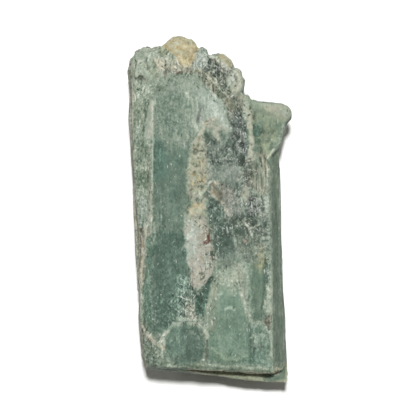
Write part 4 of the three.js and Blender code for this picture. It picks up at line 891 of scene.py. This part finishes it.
def lay_stains(tree, mask, grains, colour, blend, stains):
    """Lays stains over a colour, each where its mask is high, and broken up by a texture."""
    for where, texture, low, high, start, end, tint in stains:
        amount = add_node(
            tree, "ShaderNodeMapRange", {0: grains[texture], 1: low, 2: high, 3: start, 4: end}
        ).outputs[0]
        share = add_node(
            tree, "ShaderNodeMath", {0: mask[where], 1: amount}, operation="MULTIPLY"
        ).outputs[0]
        colour = add_node(
            tree, "ShaderNodeMix", {0: share, MIX_A: colour, MIX_B: (*tint, 1)},
            data_type="RGBA", blend_type=blend,
        ).outputs[MIX_RESULT]
    return colour


def green_colour(tree, colours, mask, grains):
    """The kyanite's green, from deep and clear to frosted and white, with its tints, and the splinters'
    painted glints and painted shade.
    """
    tone = mask["tone"]
    for texture, low, high, swing, share in (
        # texture, the part of its range that is used, how far it moves the tone, and where
        ("mottle", 0.3, 0.7, 0.5, "grainy"),
        # the splinters' glints and gaps raise and lower the tone: painted highlights and painted shade
        ("glint", 0.4, 0.72, 0.4, "grainy"),
        ("gap", 0.28, 0.6, 0.3, "grainy"),
        ("flake", 0.0, 1.0, 0.5, "mica"),
        ("shard", 0.0, 1.0, 0.18, "broken"),
        ("streak", 0.3, 0.7, 0.3, "streaky"),
        ("rib", 0.3, 0.7, 0.26, "streaky"),
        ("splinter", 0.0, 1.0, 0.14, "streaky"),
        ("blot", 0.3, 0.7, 0.1, None),
        ("cloud", 0.35, 0.65, 0.06, None),
    ):
        shift = add_node(
            tree, "ShaderNodeMapRange", {0: grains[texture], 1: low, 2: high, 3: -swing, 4: swing}
        ).outputs[0]
        where = mask[share] if share else 1.0
        tone = add_node(
            tree, "ShaderNodeMath", {0: shift, 1: where, 2: tone}, operation="MULTIPLY_ADD"
        ).outputs[0]
    green = add_node(tree, "ShaderNodeValToRGB", {0: tone})
    stops = green.color_ramp.elements
    stops[0].color = (*colours.deep, 1)
    stops[1].color = (*colours.white, 1)
    stops.new(0.34).color = (*colours.green, 1)
    stops.new(0.8).color = (*colours.frost, 1)
    # where, which texture breaks it up, the range used, its share at the range's ends, colour
    tints = [
        ("olive", "blot", 0.25, 0.6, 0.3, 0.8, colours.olive),
        ("teal", "cloud", 0.2, 0.5, 0.3, 0.9, colours.teal),
        ("grey", "blot", 0.3, 0.6, 0.3, 0.8, colours.grey),
        ("warm", "blot", 0.25, 0.55, 0.3, 0.8, colours.warm),
    ]
    return lay_stains(tree, mask, grains, green.outputs[0], "COLOR", tints)


def lay_minerals(tree, colours, mask, mm, colour):
    """Quartz, the crusts, mica and rust over the green, each of two colours."""
    for name, first, second, size_mm, ragged, cover in (
        # name, first colour, second colour, grain in mm, how ragged its edge is, how much it covers
        ("quartz", colours.quartz, colours.quartz_warm, 1.0, 1.0, 0.8),
        ("cream", colours.crust, colours.crust_dark, 0.6, 1.1, 0.75),
        ("sand", colours.sand, colours.sand_dark, 0.6, 0.7, 0.85),
        ("mica", colours.mica, colours.mica_light, 0.4, 1.5, 0.55),
        ("rust", colours.rust, colours.rust_light, 0.4, 0.5, 0.9),
    ):
        sockets = {"Vector": mm, "Scale": 1 / size_mm, "Detail": 4.0, "Roughness": 0.65}
        texture = add_node(tree, "ShaderNodeTexNoise", sockets)
        border = add_node(
            tree, "ShaderNodeMapRange",
            {0: texture.outputs[0], 1: 0.2, 2: 0.8, 3: -ragged / 2, 4: ragged / 2},
        ).outputs[0]
        inside = add_node(
            tree, "ShaderNodeMath", {0: mask[name], 1: border}, operation="ADD"
        ).outputs[0]
        share = add_node(
            tree, "ShaderNodeMapRange", {0: inside, 1: 0.4, 2: 0.7, 3: 0, 4: cover}
        ).outputs[0]
        parts = add_node(tree, "ShaderNodeSeparateColor", {"Color": texture.outputs["Color"]})
        blend = add_node(
            tree, "ShaderNodeMapRange", {0: parts.outputs[1], 1: 0.38, 2: 0.62}
        ).outputs[0]
        tint = add_node(
            tree, "ShaderNodeMix", {0: blend, MIX_A: (*first, 1), MIX_B: (*second, 1)}, data_type="RGBA"
        ).outputs[MIX_RESULT]
        colour = add_node(
            tree, "ShaderNodeMix", {0: share, MIX_A: colour, MIX_B: tint}, data_type="RGBA"
        ).outputs[MIX_RESULT]
    return colour


def lay_wear_shade_and_glints(tree, colours, mask, grains, colour):
    """Bruises, dirt with painted shade, pits, splinters and painted glints over the minerals."""
    # as the tints: worn edges whiten, crevices take dirt and painted shade, the crust's ridges are clean
    # and pin holes pit the faces with painted shade
    wear = [
        ("edge", "mottle", 0.35, 0.6, 0.0, 0.6, colours.frost),
        ("crevice_dirt_and_shade", "blot", 0.2, 0.5, 0.3, 0.65, colours.shade),
        ("cream", "net", 0.16, 0.03, 0.0, 0.85, colours.crust_light),
        ("grainy", "pin", 0.28, 0.35, 0.5, 0.0, colours.shade),
    ]
    colour = lay_stains(tree, mask, grains, colour, "MIX", wear)
    for where, texture, reach, low, high, cover, tint in (
        # where, texture, how far the mask moves it, range used, cover, colour: some splinters gape in
        # painted shade, others glint as painted highlights, and painted glints fleck the faces, few where
        # the mask is low and many where it is high
        ("hair", "gap", -0.15, 0.25, 0.17, 0.85, colours.shade),
        ("hair", "glint", 0.15, 0.76, 0.88, 0.7, colours.glint_fleck),
        ("grainy", "glint_fleck", 0.14, 0.76, 0.84, 0.6, colours.glint_fleck),
    ):
        moved = add_node(
            tree, "ShaderNodeMath", {0: mask[where], 1: reach, 2: grains[texture]},
            operation="MULTIPLY_ADD",
        ).outputs[0]
        share = add_node(
            tree, "ShaderNodeMapRange", {0: moved, 1: low, 2: high, 3: 0, 4: cover}
        ).outputs[0]
        colour = add_node(
            tree, "ShaderNodeMix", {0: share, MIX_A: colour, MIX_B: (*tint, 1)}, data_type="RGBA"
        ).outputs[MIX_RESULT]
    return colour


def kyanite_material(colours, mask_names):
    """Raw kyanite: a frosted, weakly glassy silicate, split along its blades and part crusted.

    Light goes a little way in, so the green looks soft, and every worn edge turns whitish.
    """
    material = bpy.data.materials.new("frosted green kyanite with quartz, mica and iron crust")
    material.use_nodes = True
    tree = material.node_tree
    tree.nodes.clear()
    place = add_node(tree, "ShaderNodeTexCoord", {}).outputs["Object"]
    # millimetres, so that a texture's scale is one over its size
    per_metre = 1 / MM
    mm = add_node(
        tree, "ShaderNodeMapping", {"Vector": place, "Scale": (per_metre, per_metre, per_metre)}
    ).outputs[0]
    mask = {
        name: add_node(tree, "ShaderNodeAttribute", {}, attribute_name=name).outputs["Fac"]
        for name in mask_names
    }
    grains = stone_textures(tree, mm)
    colour = green_colour(tree, colours, mask, grains)
    colour = lay_minerals(tree, colours, mask, mm, colour)
    colour = lay_wear_shade_and_glints(tree, colours, mask, grains, colour)

    # streaks and mottling are felt as well as seen, and crust and sand are the dullest
    height = add_node(
        tree, "ShaderNodeMath", {0: grains["streak"], 1: 0.7, 2: grains["mottle"]},
        operation="MULTIPLY_ADD",
    ).outputs[0]
    bump = add_node(tree, "ShaderNodeBump", {"Strength": 0.5, "Distance": 0.1 * MM, "Height": height})
    dull = add_node(
        tree, "ShaderNodeMath", {0: mask["cream"], 1: mask["sand"]}, operation="MAXIMUM"
    ).outputs[0]
    rough = add_node(
        tree, "ShaderNodeMath", {0: dull, 1: 0.25, 2: 0.58}, operation="MULTIPLY_ADD"
    ).outputs[0]
    # kyanite's own index is about 1.72, and its bruised and dusty skin shines less than that
    surface = add_node(
        tree,
        "ShaderNodeBsdfPrincipled",
        {
            "Base Color": colour,
            "Roughness": rough,
            "IOR": 1.6,
            "Specular IOR Level": 0.12,
            "Normal": bump.outputs[0],
            "Subsurface Weight": 0.12,
            "Subsurface Scale": 0.5 * MM,
            "Subsurface Radius": (0.8, 1.0, 0.8),
        },
    )
    add_node(tree, "ShaderNodeOutputMaterial", {"Surface": surface.outputs[0]})
    return material


# ------------------------------------------------------------------ the add-on


class KyaniteSizes(bpy.types.PropertyGroup):
    """Sizes of the crystal's relief."""

    voxel: FloatProperty(
        name="Face size", description="Size of the skin's faces",
        unit="LENGTH", precision=5, default=0.25 * MM,
    )
    striation: FloatProperty(
        name="Striations", description="Depth of the ribs along the blades",
        unit="LENGTH", precision=5, default=0.22 * MM,
    )
    crust: FloatProperty(
        name="Crust", description="Height of the crust's grains",
        unit="LENGTH", precision=5, default=0.26 * MM,
    )


def colour_property(name, description, hex_colour):
    """A colour setting with an sRGB hex default."""
    return FloatVectorProperty(
        name=name, description=description, subtype="COLOR", size=3, min=0, max=1,
        default=linear(hex_colour),
    )


class KyaniteColours(bpy.types.PropertyGroup):
    """Colours of the minerals."""

    deep: colour_property("Deep green", "Clear kyanite, seen into", "3c5447")
    green: colour_property("Green", "Kyanite of middling depth", "5f7667")
    frost: colour_property("Frost", "Bruised and worn kyanite", "9ba799")
    # the ramp's white end: the whitest crushed kyanite, and the painted glints that reach past frost
    white: colour_property("White", "Kyanite crushed to powder", "c5cac1")
    olive: colour_property("Olive", "Green stained yellow by clay", "7d8567")
    grey: colour_property("Grey", "Kyanite full of fine mica", "797c77")
    teal: colour_property("Teal", "Clear kyanite, bluer and stronger", "5b8573")
    warm: colour_property("Warm", "Kyanite stained brown", "938977")
    crust_light: colour_property("Crust, light", "Ridges of clean crust", "c2bdac")
    crust: colour_property("Crust", "Clay crust", "aeae99")
    crust_dark: colour_property("Crust, dark", "Crust stained by iron", "8c896f")
    sand: colour_property("Sand", "Limonite crust", "c8bf9c")
    sand_dark: colour_property("Sand, dark", "Limonite crust in its pits", "a08d62")
    quartz: colour_property("Quartz", "Milky quartz", "a9a89f")
    quartz_warm: colour_property("Quartz, warm", "Milky quartz with a rosy stain", "918b7a")
    mica: colour_property("Mica", "Dark mica flakes", "323935")
    mica_light: colour_property("Mica, light", "Mica flakes that catch the light", "939893")
    rust: colour_property("Rust", "Iron stain", "42201a")
    rust_light: colour_property("Rust, light", "Thin iron stain", "6a4234")
    # painted shade, with some dirt: the dark of crevices, pin holes and the gaps between splinters
    shade: colour_property("Shade", "Dirt in crevices", "232d26")
    # painted glints: the white of small facets that catch the light, on splinters and grainy faces
    glint_fleck: colour_property("Fleck", "Bruised flecks", "d8dcd4")


class KyaniteStage(bpy.types.PropertyGroup):
    """The camera, the floor and the lights."""

    elevation: FloatProperty(
        name="Elevation", description="Height of the camera above the floor", subtype="ANGLE",
        default=math.radians(82.5),
    )
    distance: FloatProperty(
        name="Distance", description="From the camera to the crystal", unit="LENGTH", default=328 * MM
    )
    lens_mm: FloatProperty(name="Lens", description="Focal length", unit="CAMERA", default=180)
    floor: colour_property("Floor", "Plain pale floor", "f7f7f6")


class KYANITE_OT_crystal(bpy.types.Operator):
    """Makes the weathered crystal that stands for the plain solid"""

    bl_idname = "kyanite.crystal"
    bl_label = "Kyanite crystal"

    def execute(self, context):
        settings = context.scene
        crystal = even_skin(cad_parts[NODE], "kyanite_skin", settings.kyanite_sizes.voxel)
        skin = Skin(crystal.data)
        paint = paint_minerals(skin)
        weather(skin, paint, settings.kyanite_sizes)
        paint_wear_and_shade(skin, paint)
        for name, values in paint.items():
            skin.keep(name, values)
        crystal.data.materials.append(kyanite_material(settings.kyanite_colours, list(paint)))
        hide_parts(NODE)
        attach(crystal, "root")
        return {"FINISHED"}


class KYANITE_OT_stage(bpy.types.Operator):
    """Makes the floor, the lights and the camera"""

    bl_idname = "kyanite.stage"
    bl_label = "Floor, lights and camera"

    def execute(self, context):
        scene = context.scene
        stage = scene.kyanite_stage
        sheet = bmesh.new()
        half_width = 1.5
        bmesh.ops.create_grid(sheet, x_segments=1, y_segments=1, size=half_width)
        floor_mesh = bpy.data.meshes.new("floor")
        sheet.to_mesh(floor_mesh)
        sheet.free()
        floor = bpy.data.objects.new("floor", floor_mesh)
        scene.collection.objects.link(floor)
        paper = bpy.data.materials.new("matt white paper")
        paper.use_nodes = True
        shader = paper.node_tree.nodes["Principled BSDF"]
        shader.inputs["Base Color"].default_value = (*stage.floor, 1)
        shader.inputs["Roughness"].default_value = 0.9
        floor_mesh.materials.append(paper)

        lamps = [
            # name, place in mm, width in mm, power in watts
            ("overhead softbox", (0, 128, 1000), 100, 11.0),
            ("left softbox", (-330, 60, 300), 220, 0.11),
            ("right fill", (330, 40, 300), 260, 0.08),
        ]
        for name, spot, width, power in lamps:
            light = bpy.data.lights.new(name, "AREA")
            light.shape = "DISK"
            light.size = width * MM
            light.energy = power
            lamp = bpy.data.objects.new(name, light)
            lamp.location = Vector(spot) * MM
            lamp.rotation_euler = (-lamp.location).to_track_quat("-Z", "Y").to_euler()
            scene.collection.objects.link(lamp)

        # the room adds a faint and slightly warm light to the shadow
        world = bpy.data.worlds.new("pale room")
        world.use_nodes = True
        background = world.node_tree.nodes["Background"]
        background.inputs["Color"].default_value = (1, 0.9, 0.8, 1)
        background.inputs["Strength"].default_value = 0.1
        scene.world = world
        scene.view_settings.view_transform = "Standard"

        camera = bpy.data.cameras.new("camera")
        camera.lens = stage.lens_mm
        camera.clip_start = 0.01
        eye = bpy.data.objects.new("camera", camera)
        target = Vector((-0.3, -0.45, 11.5)) * MM
        back = Vector((0, -math.cos(stage.elevation), math.sin(stage.elevation)))
        eye.location = target + back * stage.distance
        eye.rotation_euler = (-back).to_track_quat("-Z", "Y").to_euler()
        scene.collection.objects.link(eye)
        scene.camera = eye
        return {"FINISHED"}


class KYANITE_PT_panel(bpy.types.Panel):
    """Kyanite settings and steps"""

    bl_label = "Kyanite"
    bl_space_type = "VIEW_3D"
    bl_region_type = "UI"
    bl_category = "Kyanite"

    def draw(self, context):
        for group in (
            context.scene.kyanite_sizes, context.scene.kyanite_colours, context.scene.kyanite_stage
        ):
            for name in group.__annotations__:
                self.layout.prop(group, name)
        self.layout.operator(KYANITE_OT_crystal.bl_idname)
        self.layout.operator(KYANITE_OT_stage.bl_idname)


CLASSES = (
    KyaniteSizes,
    KyaniteColours,
    KyaniteStage,
    KYANITE_OT_crystal,
    KYANITE_OT_stage,
    KYANITE_PT_panel,
)


def register():
    """Registers the classes and hangs the settings on the scene."""
    for item in CLASSES:
        bpy.utils.register_class(item)
    bpy.types.Scene.kyanite_sizes = PointerProperty(type=KyaniteSizes)
    bpy.types.Scene.kyanite_colours = PointerProperty(type=KyaniteColours)
    bpy.types.Scene.kyanite_stage = PointerProperty(type=KyaniteStage)


def unregister():
    """Takes the settings and the classes away again."""
    del bpy.types.Scene.kyanite_sizes
    del bpy.types.Scene.kyanite_colours
    del bpy.types.Scene.kyanite_stage
    for item in reversed(CLASSES):
        bpy.utils.unregister_class(item)


def main():
    """Makes the whole scene."""
    register()
    bpy.ops.kyanite.crystal()
    bpy.ops.kyanite.stage()


if __name__ == "__main__":
    main()
